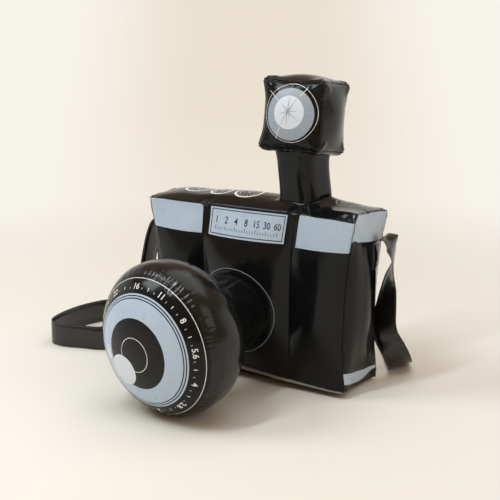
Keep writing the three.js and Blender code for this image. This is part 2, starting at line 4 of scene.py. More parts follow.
import bpy
import numpy as np
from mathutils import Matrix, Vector


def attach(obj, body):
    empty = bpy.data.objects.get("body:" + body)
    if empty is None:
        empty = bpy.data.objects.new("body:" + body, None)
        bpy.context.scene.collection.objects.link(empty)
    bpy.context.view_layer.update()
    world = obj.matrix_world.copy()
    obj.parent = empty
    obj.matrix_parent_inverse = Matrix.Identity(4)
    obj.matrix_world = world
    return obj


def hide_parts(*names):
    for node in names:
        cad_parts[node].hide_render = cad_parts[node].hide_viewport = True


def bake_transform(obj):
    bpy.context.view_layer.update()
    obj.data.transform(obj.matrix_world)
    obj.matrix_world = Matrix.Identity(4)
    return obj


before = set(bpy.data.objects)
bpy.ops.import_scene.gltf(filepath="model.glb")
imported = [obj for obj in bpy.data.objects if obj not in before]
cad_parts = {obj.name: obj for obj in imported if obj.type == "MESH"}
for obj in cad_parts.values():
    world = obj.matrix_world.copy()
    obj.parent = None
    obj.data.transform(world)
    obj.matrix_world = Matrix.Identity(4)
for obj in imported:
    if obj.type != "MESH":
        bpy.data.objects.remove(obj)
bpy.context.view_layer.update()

# Lengths below are in millimetres, and become metres where a mesh is made
MM = 0.001
AXES = np.eye(3)
X, Y, Z = AXES
ROOT2 = math.sqrt(2)


# Materials


def new_material(name):
    material = bpy.data.materials.new(name)
    material.use_nodes = True
    return material, material.node_tree


def wire(tree, node, values):
    """Sets inputs of a node to constants, or joins them to outputs of other nodes."""
    for key, value in values.items():
        if isinstance(value, bpy.types.NodeSocket):
            tree.links.new(value, node.inputs[key])
        else:
            node.inputs[key].default_value = value
    return node


def add_node(tree, kind, values=None, **settings):
    node = tree.nodes.new("ShaderNode" + kind)
    for key, value in settings.items():
        setattr(node, key, value)
    return wire(tree, node, values or {})


def noise(tree, coords, scale, detail, roughness=0.5):
    values = {"Vector": coords, "Scale": scale, "Detail": detail, "Roughness": roughness}
    return add_node(tree, "TexNoise", values).outputs["Fac"]


def colour_ramp(tree, value, low, high, ends=(0.0, 1.0)):
    ramp = add_node(tree, "ValToRGB", {"Fac": value})
    for element, place, colour in zip(ramp.color_ramp.elements, ends, (low, high)):
        element.position = place
        element.color = (*colour, 1.0)
    return ramp.outputs["Color"]


def map_range(tree, value, low, high, to_low=0.0, to_high=1.0, kind="LINEAR"):
    values = {"Value": value, "From Min": low, "From Max": high, "To Min": to_low, "To Max": to_high}
    return add_node(tree, "MapRange", values, interpolation_type=kind).outputs["Result"]


def bump(tree, height, distance, **below):
    values = {"Strength": 1.0, "Distance": distance, "Height": height, **below}
    return add_node(tree, "Bump", values).outputs["Normal"]


GRAIN = 0.00002


def film_material(name, dark, light, rough, slack=0.00022, shine=0.22):
    """Smooth plastic film: slow colour drift, uneven gloss, slack waves and a fine grain."""
    material, tree = new_material(name)
    coords = add_node(tree, "TexCoord").outputs["Object"]
    drift = noise(tree, coords, 14.0, 4.0)
    handling = noise(tree, coords, 55.0, 5.0, 0.6)
    waves = bump(tree, noise(tree, coords, 17.0, 2.0, 0.4), slack)
    wire(tree, tree.nodes["Principled BSDF"], {
        "Base Color": colour_ramp(tree, drift, dark, light, (0.32, 0.68)),
        "Roughness": map_range(tree, handling, 0.3, 0.7, *rough),
        "Normal": bump(tree, noise(tree, coords, 900.0, 3.0, 0.6), GRAIN, Normal=waves),
        "Specular IOR Level": shine,
    })
    return material


def ink_material(name, dark, light, rough, slack=0.0002, shine=0.35):
    return film_material(name, dark, light, rough, slack, shine)


black_film = film_material("black_film", (0.0046, 0.0052, 0.0057), (0.0080, 0.0087, 0.0092), (0.12, 0.19))
band_film = film_material(
    "band_film", (0.008, 0.0077, 0.0073), (0.013, 0.0125, 0.0119), (0.14, 0.22), shine=0.37)
strap_film = film_material(
    "strap_film", (0.007, 0.0066, 0.006), (0.012, 0.0112, 0.0102), (0.17, 0.26), shine=0.6)
web_film = film_material("web_film", (0.012, 0.012, 0.012), (0.022, 0.022, 0.022), (0.4, 0.55))
silver_ink = ink_material(
    "silver_ink", (0.485, 0.61, 0.765), (0.505, 0.63, 0.785), (0.24, 0.34), slack=0.0001)
grey_ink = ink_material("grey_ink", (0.33, 0.39, 0.48), (0.365, 0.43, 0.52), (0.26, 0.36))
pale_ink = ink_material("pale_ink", (0.73, 0.795, 0.91), (0.77, 0.835, 0.94), (0.26, 0.36))
white_ink = ink_material("white_ink", (0.82, 0.85, 0.88), (0.88, 0.91, 0.93), (0.28, 0.38))
dark_ink = ink_material(
    "dark_ink", (0.0075, 0.0078, 0.0085), (0.012, 0.0125, 0.013), (0.22, 0.32), shine=0.22)
valve_plastic = film_material(
    "valve_plastic", (0.012, 0.012, 0.0125), (0.02, 0.02, 0.021), (0.3, 0.42), slack=0.00005, shine=0.4)
flap_film = film_material("flap_film", (0.02, 0.02, 0.021), (0.03, 0.03, 0.031), (0.38, 0.5), slack=0.00005)
# Grey trim ink for the front bottom lip, partly a painted highlight: it stands in for the pale line along that
# lip that the lamps do not give.
lip_trim_and_highlight_ink = ink_material("lip_trim_and_highlight_ink", (0.20, 0.20, 0.175), (0.25, 0.25, 0.22), (0.3, 0.42), slack=0.0001)
INKS = [black_film, silver_ink, dark_ink, white_ink, grey_ink, pale_ink]
BLACK, SILVER, DARK, WHITE, GREY, PALE = range(6)


# Meshes


def grid_quads(rows, columns, closed):
    spans = columns if closed else columns - 1
    r, c = np.meshgrid(np.arange(rows - 1), np.arange(spans), indexing="ij")
    here, after = r * columns, (c + 1) % columns
    return np.stack([here + c, here + after, here + columns + after, here + columns + c], -1).reshape(-1, 4)


class Parts:
    """Points and faces of one piece, gathered from several grids."""

    def __init__(self):
        self.points, self.faces, self.slots, self.count = [], [], [], 0

    def grid(self, points, slot=0, closed=False, outward=None, keep=None):
        rows, columns = points.shape[:2]
        quads = grid_quads(rows, columns, closed)
        flat = points.reshape(-1, 3)
        if outward is not None:
            a, b, c = (flat[quads[:, i]] for i in (0, 1, 3))
            facing = np.einsum("ij,ij->i", np.cross(b - a, c - a), outward(flat[quads].mean(1)))
            if np.median(facing) < 0:
                quads = quads[:, ::-1]
        slots = np.asarray(slot)
        slots = slots.ravel() if slots.ndim == 2 else np.broadcast_to(slots, (len(quads),))
        if keep is not None:
            quads, slots = quads[keep.ravel()], slots[keep.ravel()]
        self.points.append(flat)
        self.faces.extend((quads + self.count).tolist())
        self.slots.extend(slots.tolist())
        self.count += len(flat)
        return self

    def face(self, points, faces, slot=0):
        self.points.append(np.asarray(points, float))
        self.faces.extend([[i + self.count for i in f] for f in faces])
        self.slots.extend([slot] * len(faces))
        self.count += len(points)
        return self

    def caps(self, rows, slot=0, flip=False):
        """Closes both ends of a grid of rings."""
        order = list(range(rows.shape[1]))
        first, last = (order, order[::-1]) if flip else (order[::-1], order)
        return self.face(rows[0], [first], slot).face(rows[-1], [last], slot)

    def piece(self, name, materials):
        mesh = bpy.data.meshes.new(name)
        mesh.from_pydata((np.concatenate(self.points) * MM).tolist(), [], self.faces)
        for material in materials:
            mesh.materials.append(material)
        mesh.polygons.foreach_set("material_index", np.asarray(self.slots, np.int32))
        mesh.polygons.foreach_set("use_smooth", np.ones(len(mesh.polygons), bool))
        mesh.update()
        piece = bpy.data.objects.new(name, mesh)
        bpy.context.scene.collection.objects.link(piece)
        return piece


def finish_piece(piece, body, slot, replaced=()):
    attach(piece, body)
    if replaced:
        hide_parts(*replaced)


def away_from(place):
    return lambda points: points - place


def along_way(way):
    return lambda points: np.broadcast_to(way, points.shape)


def unit(vectors):
    return vectors / np.linalg.norm(vectors, axis=-1, keepdims=True)


def smooth_step(low, high, value):
    u = np.clip((value - low) / (high - low), 0, 1)
    return u * u * (3 - 2 * u)


def full_turn(count):
    return np.linspace(0, 2 * math.pi, count, endpoint=False)


def turn_from(angle, start):
    """Signed way from one angle to another, at most half a turn."""
    return np.remainder(angle - start + math.pi, 2 * math.pi) - math.pi


def square_round(angle, power):
    """Radius by angle of a unit outline: a circle for power 2, squarer above it."""
    return (np.abs(np.cos(angle)) ** power + np.abs(np.sin(angle)) ** power) ** (-1 / power)


WELD_ZONE = 5.5
WELD_STEPS = (0.5, 1.1, 1.8, 2.6, 3.6, 4.8)


def spaced(bounds, step):
    """Samples through all bounds, at most step apart, closer together at the two welded ends."""
    first, last = bounds[0], bounds[-1]
    samples = [last]
    for low, high in zip(bounds[:-1], bounds[1:]):
        count = max(1, math.ceil((high - low) / step))
        samples.extend(low + (high - low) * i / count for i in range(count))
    samples = [x for x in samples if x in (first, last) or first + WELD_ZONE < x < last - WELD_ZONE]
    samples += [first + d for d in WELD_STEPS] + [last - d for d in WELD_STEPS]
    return np.array(sorted(set(samples)))


# Inflated box bags: half sizes, draws of the edges between the corner tips, crowns of the faces

# Each face: the axes of its normal, its columns and its rows, and the side it is on
FACES = {
    "front": (1, 0, 2, -1),
    "back": (1, 0, 2, 1),
    "top": (2, 0, 1, 1),
    "bottom": (2, 0, 1, -1),
    "left": (0, 1, 2, -1),
    "right": (0, 1, 2, 1),
}
NAMED = {(normal, side): name for name, (normal, _, _, side) in FACES.items()}
BODY_HALF = np.array([156, 51, 120.0])
HALF_X, HALF_Y, HALF_Z = BODY_HALF.tolist()
MID_Z = 126.0
TIE_X = 72.0
TIE = TIE_X / HALF_X


def face_way(face):
    normal, _, _, side = FACES[face]
    return side * AXES[normal]


def pair(a, b):
    return frozenset((a, b))


def by_edge(values):
    """Values by the two faces that meet at an edge."""
    return {frozenset(names.split()): value for names, value in values.items()}


def bag_edges():
    """Each of the twelve edges once: its key, a face, the axis across it, the end and the axis along it."""
    done = set()
    for face, (_, across, along, _) in FACES.items():
        for axis, other in ((across, along), (along, across)):
            for end in (-1, 1):
                key = pair(face, NAMED[axis, end])
                if key not in done:
                    done.add(key)
                    yield key, face, axis, end, other


def tip_fade(u):
    """One in the middle of an edge, nothing at its tips."""
    return 1 - np.abs(u) ** 2.4


def soft_crown(high):
    return lambda s, t: high * ((1 - s * s) * (1 - t * t))


LOBE_MIDDLE, LOBE_SIDE = 20, 13


def lobe_crown(s, t):
    """Three lobes, parted by the two tie lines."""
    rise = np.maximum(1 - t * t, 0) ** 1.3
    u = (2 * np.abs(s) - 1 - TIE) / (1 - TIE)
    middle, beside = LOBE_MIDDLE * (1 - (s / TIE) ** 2), LOBE_SIDE * (1 - u * u)
    return np.where(np.abs(s) <= TIE, middle, beside) * rise


def edge_puckers(rng, length, spacing, depth, width, reach, slant=0.0):
    """Creases along a weld: (place, depth, width, reach, slant) each."""
    places = np.arange(-length / 2 + spacing * 0.7, length / 2 - spacing * 0.5, spacing)
    places = places + rng.uniform(-0.32, 0.32, len(places)) * spacing
    return [
        (p, depth * rng.uniform(0.25, 1.15), width * rng.uniform(0.7, 1.3), reach * rng.uniform(0.6, 1.3),
         slant + rng.uniform(-0.3, 0.3))
        for p in places
    ]


def all_puckers(seed, half, spacing, depth, width, reach, strength):
    rng = np.random.default_rng(seed)
    return {
        key: edge_puckers(rng, 2 * half[other], spacing, depth * strength.get(key, 1.0), width, reach)
        for key, _, _, _, other in bag_edges()
    }


def box_tips(half, taper, top, bottom, width):
    """Corner tips of a bag, how far each is pulled in, and over what width."""
    return [
        (np.array([x * (half[0] + taper * z), y * half[1], z * half[2]]), top if z > 0 else bottom, width)
        for x, y, z in itertools.product((-1, 1), repeat=3)
    ]


def bag_film(bag, face, s, t):
    """Points of a bag's film, with rounded welded edges, puckers, ear folds and slack."""
    normal, across, along, side = FACES[face]
    half, draw = bag["half"], bag["draw"]
    s, t = np.broadcast_arrays(np.asarray(s, float), np.asarray(t, float))
    fade_s, fade_t = tip_fade(s), tip_fade(t)
    height = half[normal] - draw[along][normal] * fade_t * s * s - draw[across][normal] * fade_s * t * t
    height = height + bag["crown"][face](s, t)
    if face == "bottom":
        height = np.minimum(height, bag["floor"])
    points = np.zeros(s.shape + (3,))
    points[..., normal] = side * height
    points[..., across] = s * (half[across] - draw[along][across] * fade_t)
    points[..., along] = t * (half[along] - draw[across][along] * fade_s)
    points[..., 0] *= 1 + (bag["taper"] / half[0]) * (points[..., 2] / half[2])
    outward = face_way(face)
    for axis, u, v, other in ((across, s, t, along), (along, t, s, across)):
        inner = smooth_step(1, 9, (1 - np.abs(v)) * half[other])
        for end in (-1, 1):
            distance = (1 - end * u) * half[axis]
            beside = end * AXES[axis]
            edge = pair(face, NAMED[axis, end])
            radius = bag["rounds"].get(edge, bag["round"])
            angle = math.pi / 4 * (1 + np.clip(distance / radius, 0, 1))
            inside = distance < radius
            sideways = np.where(inside, radius - radius * np.cos(angle) - distance, 0)
            inward = np.where(inside, radius - radius * np.sin(angle), 0)
            points -= sideways[..., None] * beside + inward[..., None] * outward
            dent = np.zeros(s.shape)
            for place, depth, width, reach, slant in bag["puckers"][edge]:
                trough = depth / (1 + ((v * half[other] - place - slant * distance) / width) ** 2)
                dent += trough * np.exp(-((distance / reach) ** 1.5))
            points -= (dent * inner)[..., None] * (outward + beside) / ROOT2
    ear, ear_reach, ripple = bag["ear"]
    for end_s, end_t in itertools.product((-1, 1), repeat=2):
        in_s, in_t = (1 - end_s * s) * half[across], (1 - end_t * t) * half[along]
        off, out = (in_s - in_t) / ROOT2, (in_s + in_t) / ROOT2
        fold = np.cos(off * ripple) * np.exp(-((off / 4.5) ** 2))
        fold = fold * smooth_step(3, 8, out) * (1 - smooth_step(ear_reach * 0.6, ear_reach, out))
        points += (ear * fold)[..., None] * outward
    before = points.copy()
    for corner, amount, width in bag["tips"]:
        near = np.exp(-(((before - corner) ** 2).sum(-1) / width**2))
        points -= (amount * near)[..., None] * (corner / np.abs(corner)) / math.sqrt(3)
    points += bag["slack"](face, points)
    return bag["place"](points)


def bag_normal(bag, face, s, t):
    step = 2e-3
    ds = bag_film(bag, face, s + step, t) - bag_film(bag, face, s - step, t)
    dt = bag_film(bag, face, s, t + step) - bag_film(bag, face, s, t - step)
    out = unit(np.cross(ds, dt))
    return out * np.sign(out @ bag["turn"](face_way(face)))[..., None]


def film_params(bag, face, across_at, along_at):
    """Film coordinates of real distances from the middle of a face."""
    _, across, along, _ = FACES[face]
    half_across, half_along = bag["half"][across], bag["half"][along]
    s, t = across_at / half_across, along_at / half_along
    for _ in range(8):
        points = bag["back"](bag_film(bag, face, s, t))
        s = s + (across_at - points[..., across]) / half_across
        t = t + (along_at - points[..., along]) / half_along
    return s, t


def over_film(bag, face, s, t, lift):
    return bag_film(bag, face, s, t) + np.asarray(lift)[..., None] * bag_normal(bag, face, s, t)


def film_piece(bag, face, columns, rows, materials, slot="black_film", inks=0, keep=None):
    """One film of a bag, in place of its solid panel.

    Columns and rows are in millimetres from the middle of the face; rows may vary by column.
    """
    name, (_, across, along, _) = bag["name"], FACES[face]
    s, t = columns / bag["half"][across], rows / bag["half"][along]
    if t.ndim == 1:
        s, t = np.meshgrid(s, t)
    points = bag_film(bag, face, s, t)
    outward = away_from(bag["place"](np.zeros(3)))
    parts = Parts().grid(points, inks, outward=outward, keep=None if keep is None else keep(points))
    piece = parts.piece(f"{name}_{face}_film", materials)
    finish_piece(piece, bag["body"], slot, [f"{name}_{face}_panel"])


def cell_middles(values):
    return (values[:-1] + values[1:]) / 2


def cells(points):
    return (points[:-1, :-1] + points[1:, :-1] + points[:-1, 1:] + points[1:, 1:]) / 4


LIP_PROFILE = [(-0.5, -0.5), (-0.5, 0.6), (-0.25, 1.0), (0.25, 1.0), (0.5, 0.6), (0.5, -0.5)]


def weld_fins(bag, height, thick, step, turned_lips):
    """Thin welded lips along the twelve edges of a bag; some are taller and lie another way."""
    parts = Parts()
    for number, (key, face, axis, end, other) in enumerate(bag_edges(), 1):
        length = 2 * bag["half"][other]
        v = np.linspace(-1, 1, max(8, int(length / step)))
        u = np.full_like(v, float(end))
        edge = bag_film(bag, face, u, v) if axis == FACES[face][1] else bag_film(bag, face, v, u)
        outward, beside = face_way(face), end * AXES[axis]
        rise = bag["turn"]((outward + beside) / ROOT2)
        flat = bag["turn"]((outward - beside) / ROOT2)
        tall_here, loose, slot = bag["lips"].get(key, height), 0.28, 0
        # Turned lips take the second material, the grey lip ink that is partly a painted highlight.
        if key in turned_lips:
            tall_here, rise, flat = turned_lips[key]
            tall_here = tall_here * np.interp(v, [-1, 0.2, 1], [1.0, 0.85, 0.4])
            loose, slot = 0.04, 1
        rng = np.random.default_rng(number + int(length))
        knots = rng.normal(0, 1, max(6, int(length / 9)))
        sway = np.interp(v, np.linspace(-1, 1, len(knots)), knots)
        ends = 0.3 + 0.7 * smooth_step(0, 9 / bag["half"][other], 1 - np.abs(v))
        tall = tall_here * (1 + 0.18 * sway * height / tall_here) * ends
        lean = loose * np.roll(sway, 3)
        rows = np.stack([
            edge + (thick * w + lean * max(h, 0))[:, None] * flat + (tall * h)[:, None] * rise
            for w, h in LIP_PROFILE
        ], 1)
        parts.grid(rows, slot, closed=True, outward=away_from(edge.mean(0))).caps(rows, slot, flip=True)
    return parts


# Body

BODY_TAPER = 6
body_puckers = all_puckers(5, BODY_HALF, 11.0, 0.9, 2.2, 8.0, by_edge({
    "front top": 0.18, "back top": 0.9, "front right": 0.45, "front left": 0.5, "front bottom": 0.6,
    "back bottom": 0.6, "bottom left": 0.4, "bottom right": 0.4,
}))
for face in ("front", "back"):
    for level, deep, long in (("top", 4.0, 9.0), ("bottom", 1.0, 12.0)):
        body_puckers[pair(face, level)] += [
            (-TIE_X, deep, 3.2, long, 0.0), (TIE_X, deep * 0.5, 3.0, long * 0.6, 0.0),
        ]

# The flash neck's place on the top film, its outline and its turn
NECK_X = 63.4
FLASH_NECK_HALF = 29.8
FLASH_NECK_POWER = 4.5
FLASH_NECK_TURN = math.radians(-9)


def neck_reach(x, y):
    """Half size of the flash neck's turned outline that passes a point beside its axis."""
    c, s = math.cos(FLASH_NECK_TURN), math.sin(FLASH_NECK_TURN)
    turned_x, turned_y = np.abs(x * c + y * s), np.abs(y * c - x * s)
    return (turned_x**FLASH_NECK_POWER + turned_y**FLASH_NECK_POWER) ** (1 / FLASH_NECK_POWER)


# Along the body: rise of the front top weld, rise of the front bottom weld, lean of the front film
FRONT_RISE = ([-156, -72, -62, 0, 60, 71, 84, 140, 156], [0, 0.4, 2.3, 3.5, 4.7, 2.2, 3.6, 0.4, 0])
LOW_RISE = ([-156, -112, -20, 20, 60, 100, 140, 156], [0, 11.6, 11.3, 7.6, 3.9, 2.6, 2.0, 0])
FRONT_LEAN = ([-150, -108, -62, -20, 60, 100], [0, 4.6, 8.0, 5.5, 1.8, 0])


def body_slack(face, points):
    """Slack film: it stands up along both ends, slopes to the front and is drawn up to the flash neck."""
    x, y, z = np.moveaxis(points, -1, 0)
    shift = np.zeros(points.shape)
    level = smooth_step(60, 112, z)
    shift[..., 2] += 5.4 * np.clip(1 - (y / 52) ** 2, 0, 1) * smooth_step(92, 150, -x) * level
    rear_tip = np.exp(-(((x + 160) / 26) ** 2 + ((y - 50) / 20) ** 2))
    shift[..., 2] -= 3.6 * rear_tip * level
    shift[..., 2] += 5.0 * np.exp(-(((x - 118) / 30) ** 2 + ((y - 18) / 28) ** 2)) * level
    ridge = np.interp(x, [88, 158], [-24, -42])
    at_end = smooth_step(128, 150, x)
    ramp = np.clip((y + HALF_Y) / (ridge + HALF_Y), 0, 1) * (1 - at_end) + smooth_step(-50, -40, y) * at_end
    along_end = ramp * np.interp(y, [-40, 48], [1.0, 0.05])
    shift[..., 2] += 11.5 * along_end * smooth_step(86, 152, x) * smooth_step(20, 105, z)
    shift[..., 2] += np.interp(x, *FRONT_RISE) * smooth_step(-12, -48, y) * smooth_step(64, 116, z)
    shift[..., 2] += np.interp(x, *LOW_RISE) * smooth_step(-18, -48, y) * smooth_step(-78, -118, z)
    front = smooth_step(-18, -42, y)
    shift[..., 1] += np.interp(x, *FRONT_LEAN) * front * smooth_step(70, 116, z)
    belly = np.interp(x, [-140, -96, 60, 96], [0, 3.0, 2.0, 0])
    shift[..., 1] -= belly * front * np.exp(-(((z - 46) / 38) ** 2))
    low_end = smooth_step(108, 150, x) * smooth_step(-92, -118, z)
    shift[..., 2] -= 5.0 * low_end * smooth_step(-34, 12, y)
    at_edges = np.maximum(smooth_step(-14, -42, y), smooth_step(34, HALF_Y, y))
    shift[..., 0] += 3.4 * smooth_step(112, 150, x) * at_edges
    shift[..., 0] -= 4.6 * smooth_step(112, 150, -x) * smooth_step(-8, -42, y)
    if face == "top":
        beyond = np.maximum(neck_reach(x - NECK_X, y) - FLASH_NECK_HALF, 0)
        turn = np.arctan2(y, x - NECK_X) + math.radians(54)
        tent = 3.6 + 2.4 * np.cos(turn) + 1.95 * np.sin(turn) + 0.9 * np.cos(2 * turn)
        shift[..., 2] += tent * np.exp(-((beyond / 11) ** 2))
    return shift


BODY_MIDDLE = MID_Z * Z
body_bag = {
    "name": "body",
    "body": "camera_body",
    "half": BODY_HALF,
    "draw": np.array([[0, 2, 3], [3, 0, 3], [10, 3, 0.0]]),
    "taper": BODY_TAPER,
    "round": 3.2,
    "rounds": by_edge({"front top": 1.4, "front left": 9.0, "right bottom": 6.0, "back left": 6.0}),
    "ear": (0.5, 16.0, 0.75),
    "tips": box_tips(BODY_HALF, BODY_TAPER, 3.0, 2.6, 10.0),
    "lips": by_edge({"front top": 0.4}),
    "floor": MID_Z,
    "crown": {
        "front": lobe_crown,
        "back": lobe_crown,
        "top": soft_crown(13),
        "bottom": soft_crown(11),
        "left": soft_crown(7),
        "right": soft_crown(7),
    },
    "puckers": body_puckers,
    "slack": body_slack,
    "place": lambda p: p + BODY_MIDDLE,
    "back": lambda p: p - BODY_MIDDLE,
    "turn": lambda v: v,
}

LENS_X, LENS_Z = -12.0, 104.5
LENS = (LENS_X, LENS_Z - MID_Z)
VALVE = (0.0, 0.0)
# How far the films reach in under the collars, the valve and the necks
LENS_HOLE, VALVE_HOLE, TOP_HOLE, FLASH_HOLE = 50, 5, 25.5, 24.5


def outside_round(centre, radius):
    """Keeps the cells of the front or back film outside a round opening."""
    def keep(points):
        middle = cells(points)
        return np.hypot(middle[..., 0] - centre[0], middle[..., 2] - MID_Z - centre[1]) > radius
    return keep


def outside_flash(points):
    middle = cells(points)
    return neck_reach(middle[..., 0] - NECK_X, middle[..., 1]) > TOP_HOLE


# Front print: labels by their inner and lower edge, and the plate's boxes: left, right, low, high, ink
LABEL_LEFT, LABEL_RIGHT = (-74.5, 80), (77.5, 77.5)
PLATE = [(-62, 59.8, 80, 116.5, SILVER), (-59.4, 57.2, 82.4, 114.1, DARK), (-58.2, 56, 83.5, 113, SILVER)]
plate_x = [x for box in PLATE for x in box[:2]]
plate_z = [z for box in PLATE for z in box[2:4]]
front_columns = spaced(sorted([-HALF_X, LABEL_LEFT[0], -TIE_X, *plate_x, TIE_X, LABEL_RIGHT[0], HALF_X]), 2.4)
front_rows = spaced(sorted([-HALF_Z, LABEL_RIGHT[1], *plate_z, HALF_Z]), 2.4)
cx, cz = np.meshgrid(cell_middles(front_columns), cell_middles(front_rows))
front_slots = np.full(cx.shape, BLACK)
front_slots[(cx < LABEL_LEFT[0]) & (cz > LABEL_LEFT[1])] = SILVER
front_slots[(cx > LABEL_RIGHT[0]) & (cz > LABEL_RIGHT[1])] = SILVER
for left, right, low, high, slot in PLATE:
    front_slots[(cx > left) & (cx < right) & (cz > low) & (cz < high)] = slot

back_columns = spaced([-HALF_X, -TIE_X, TIE_X, HALF_X], 2.8)
top_columns = spaced([-HALF_X, -TIE_X, TIE_X, HALF_X], 2.4)
back_rows = spaced([-HALF_Z, HALF_Z], 3.0)
top_rows = spaced([-HALF_Y, HALF_Y], 2.4)
film_piece(
    body_bag, "front", front_columns, front_rows, INKS[:3], "printed_film", front_slots,
    outside_round(LENS, LENS_HOLE),
)
film_piece(body_bag, "back", back_columns, back_rows, [black_film], keep=outside_round(VALVE, VALVE_HOLE))
film_piece(body_bag, "top", top_columns, top_rows, [black_film], keep=outside_flash)
film_piece(body_bag, "bottom", back_columns, spaced([-HALF_Y, HALF_Y], 3.2), [black_film])
film_piece(body_bag, "left", top_rows, spaced([-HALF_Z, 81, HALF_Z], 2.6), [black_film])

# Right end: the trim's edges slope from the front weld to the rear one
END_TOP = 114.5
end_edges = [
    np.full_like(top_rows, -HALF_Z),
    np.interp(top_rows, [-51, -30, -13, 13, 41, 51], [-106, -112, -114.5, -113, -107, -105.5]),
    np.interp(top_rows, [-51, -26, 12, 40, 51], [-90, -96.5, -102, -103, -102.5]),
    np.interp(top_rows, [-51, 51], [83.5, 79.0]) + 8.0 * (1 - smooth_step(-50, -40, top_rows)),
    np.full_like(top_rows, END_TOP),
]
end_bands = ((8, BLACK), (6, SILVER), (70, BLACK), (18, SILVER))
end_rows, end_slots = [], []
for low, high, (count, slot) in zip(end_edges[:-1], end_edges[1:], end_bands):
    end_rows += [low + (high - low) * i / count for i in range(count)]
    end_slots += [slot] * count
for z in (END_TOP, 115.2, 116.4, 117.4, 118.2, 118.9, 119.5, HALF_Z):
    end_rows.append(np.full_like(top_rows, z))
    end_slots.append(SILVER)
end_slots = np.repeat(np.array(end_slots[:-1])[:, None], len(top_rows) - 1, 1)
film_piece(body_bag, "right", top_rows, np.array(end_rows), INKS[:2], "printed_film", end_slots)

# The front bottom lip stands out forward and down: its height, its rise and the way across it. Its grey ink is
# trim, and partly a painted highlight along the lip.
FRONT_LIP = (5.2, np.array([0, -0.60, -0.80]), np.array([0, -0.80, 0.60]))
fins = weld_fins(body_bag, 1.1, 0.55, 2.4, by_edge({"front bottom": FRONT_LIP}))
finish_piece(fins.piece("body_weld_lips", [black_film, lip_trim_and_highlight_ink]), "camera_body", "black_film")


# Collars: weld rings on the film around each neck, as (place across the width, rise)

FLAT_RINGS = [
    (0.0, -0.6), (0.02, 0.55), (0.18, 1.0), (0.4, 0.72), (0.62, 0.95), (0.86, 0.9), (0.98, 0.5), (1.0, -0.5),
]
BEAD_RINGS = [(0.0, -0.6), (0.02, 0.9), (0.1, 1.3), (0.2, 0.9), (0.3, 0.4), (0.6, 0.3), (1.0, -0.3)]
COLLAR_WIDTH = 6.0


def collar(bag, face, centre, half, power, turn, count, lift, ripple, seed, rings):
    rng = np.random.default_rng(seed)
    angle = full_turn(count)
    outline = square_round(angle, power)
    wave = np.zeros(count)
    for order in (9, 14, 23, 31):
        wave += rng.uniform(0.3, 1.0) * np.sin(order * angle + rng.uniform(0, 6.28))
    rows = []
    for place, rise in rings:
        reach = (half + COLLAR_WIDTH * place) * outline
        x, y = reach * np.cos(angle + turn), reach * np.sin(angle + turn)
        s, t = film_params(bag, face, centre[0] + x, centre[1] + y)
        rows.append(over_film(bag, face, s, t, lift * rise + (0.2 + place) * ripple * wave * (rise > 0)))
    way = along_way(bag["turn"](face_way(face)))
    return Parts().grid(np.stack(rows), 0, closed=True, outward=way)


lens_collar = collar(body_bag, "front", LENS, 54.3, 2.0, 0.0, 200, 1.3, 0.10, 3, FLAT_RINGS)
flash_collar = collar(
    body_bag, "top", (NECK_X, 0.0), 30.0, FLASH_NECK_POWER, FLASH_NECK_TURN, 240, 1.0, 0.05, 4, BEAD_RINGS)
for name, parts in (("lens_neck", lens_collar), ("flash_neck", flash_collar)):
    piece = parts.piece(f"{name}_weld", [black_film])
    finish_piece(piece, "camera_body", "black_film", [f"{name}_collar"])


# Ball

BALL = np.array([-19.5, -215.0, 102.3])
BALL_TURN, BALL_DROOP = math.radians(9.2), math.radians(5)
BALL_WAY = np.array([
    -math.sin(BALL_TURN) * math.cos(BALL_DROOP),
    -math.cos(BALL_TURN) * math.cos(BALL_DROOP),
    -math.sin(BALL_DROOP),
])
BALL_UP = Z - (Z @ BALL_WAY) * BALL_WAY
BALL_UP /= np.linalg.norm(BALL_UP)
BALL_RIGHT = np.cross(-BALL_WAY, BALL_UP)
BALL_RADIUS = 102.0
BALL_FRONT, BALL_REAR = 62.5, -77.0
SEAM_RADIUS = 94.5
ball_out = away_from(BALL)


def ball_outline(u):
    """Radius and place along the axis, from the front pole (0) to the rear one (1)."""
    angle = np.asarray(u, float) * math.pi
    is_front = angle <= math.pi / 2
    depth = np.where(is_front, BALL_FRONT, BALL_REAR)
    power = np.where(is_front, 2 / 1.95, 2 / 2.6)
    return BALL_RADIUS * np.maximum(np.sin(angle), 0) ** power, depth * np.abs(np.cos(angle)) ** power


def outline_at(radius, low, high):
    rising = ball_outline(high)[0] > ball_outline(low)[0]
    for _ in range(50):
        middle = (low + high) / 2
        if (ball_outline(middle)[0] < radius) == rising:
            low = middle
        else:
            high = middle
    return (low + high) / 2


FRONT_SEAM = outline_at(SEAM_RADIUS, 0.0, 0.5)
REAR_SEAM = outline_at(93.0, 0.5, 1.0)
NECK_MOUTH = outline_at(51.1, 0.5, 1.0)


def ball_creases(seed, count, depth, width, reach_front, reach_rear, strong_at, strong):
    """Creases across a seam: (angle, depth, width, reach ahead, reach behind, slant) each."""
    rng = np.random.default_rng(seed)
    found = []
    for i in range(count):
        angle = 2 * math.pi * (i + rng.uniform(-0.3, 0.3)) / count
        extra = 1 + strong * math.exp(-((math.remainder(angle - strong_at, 2 * math.pi) / 0.75) ** 2))
        found.append((
            angle,
            depth * rng.uniform(0.35, 1.1) * extra,
            width * rng.uniform(0.7, 1.3),
            reach_front * rng.uniform(0.6, 1.25),
            reach_rear * rng.uniform(0.55, 1.35),
            rng.uniform(-0.07, 0.07),
        ))
    return found


# Each seam: its place, its creases and the depth of its valley
SEAMS = (
    (FRONT_SEAM - 0.004, ball_creases(21, 80, 0.75, 1.05, 5.5, 17.0, math.radians(56), 0.9), 0.25),
    (REAR_SEAM, ball_creases(22, 58, 0.9, 2.2, 8.0, 9.0, math.radians(60), 0.4), 1.2),
)
CREASE_RADIUS = 96


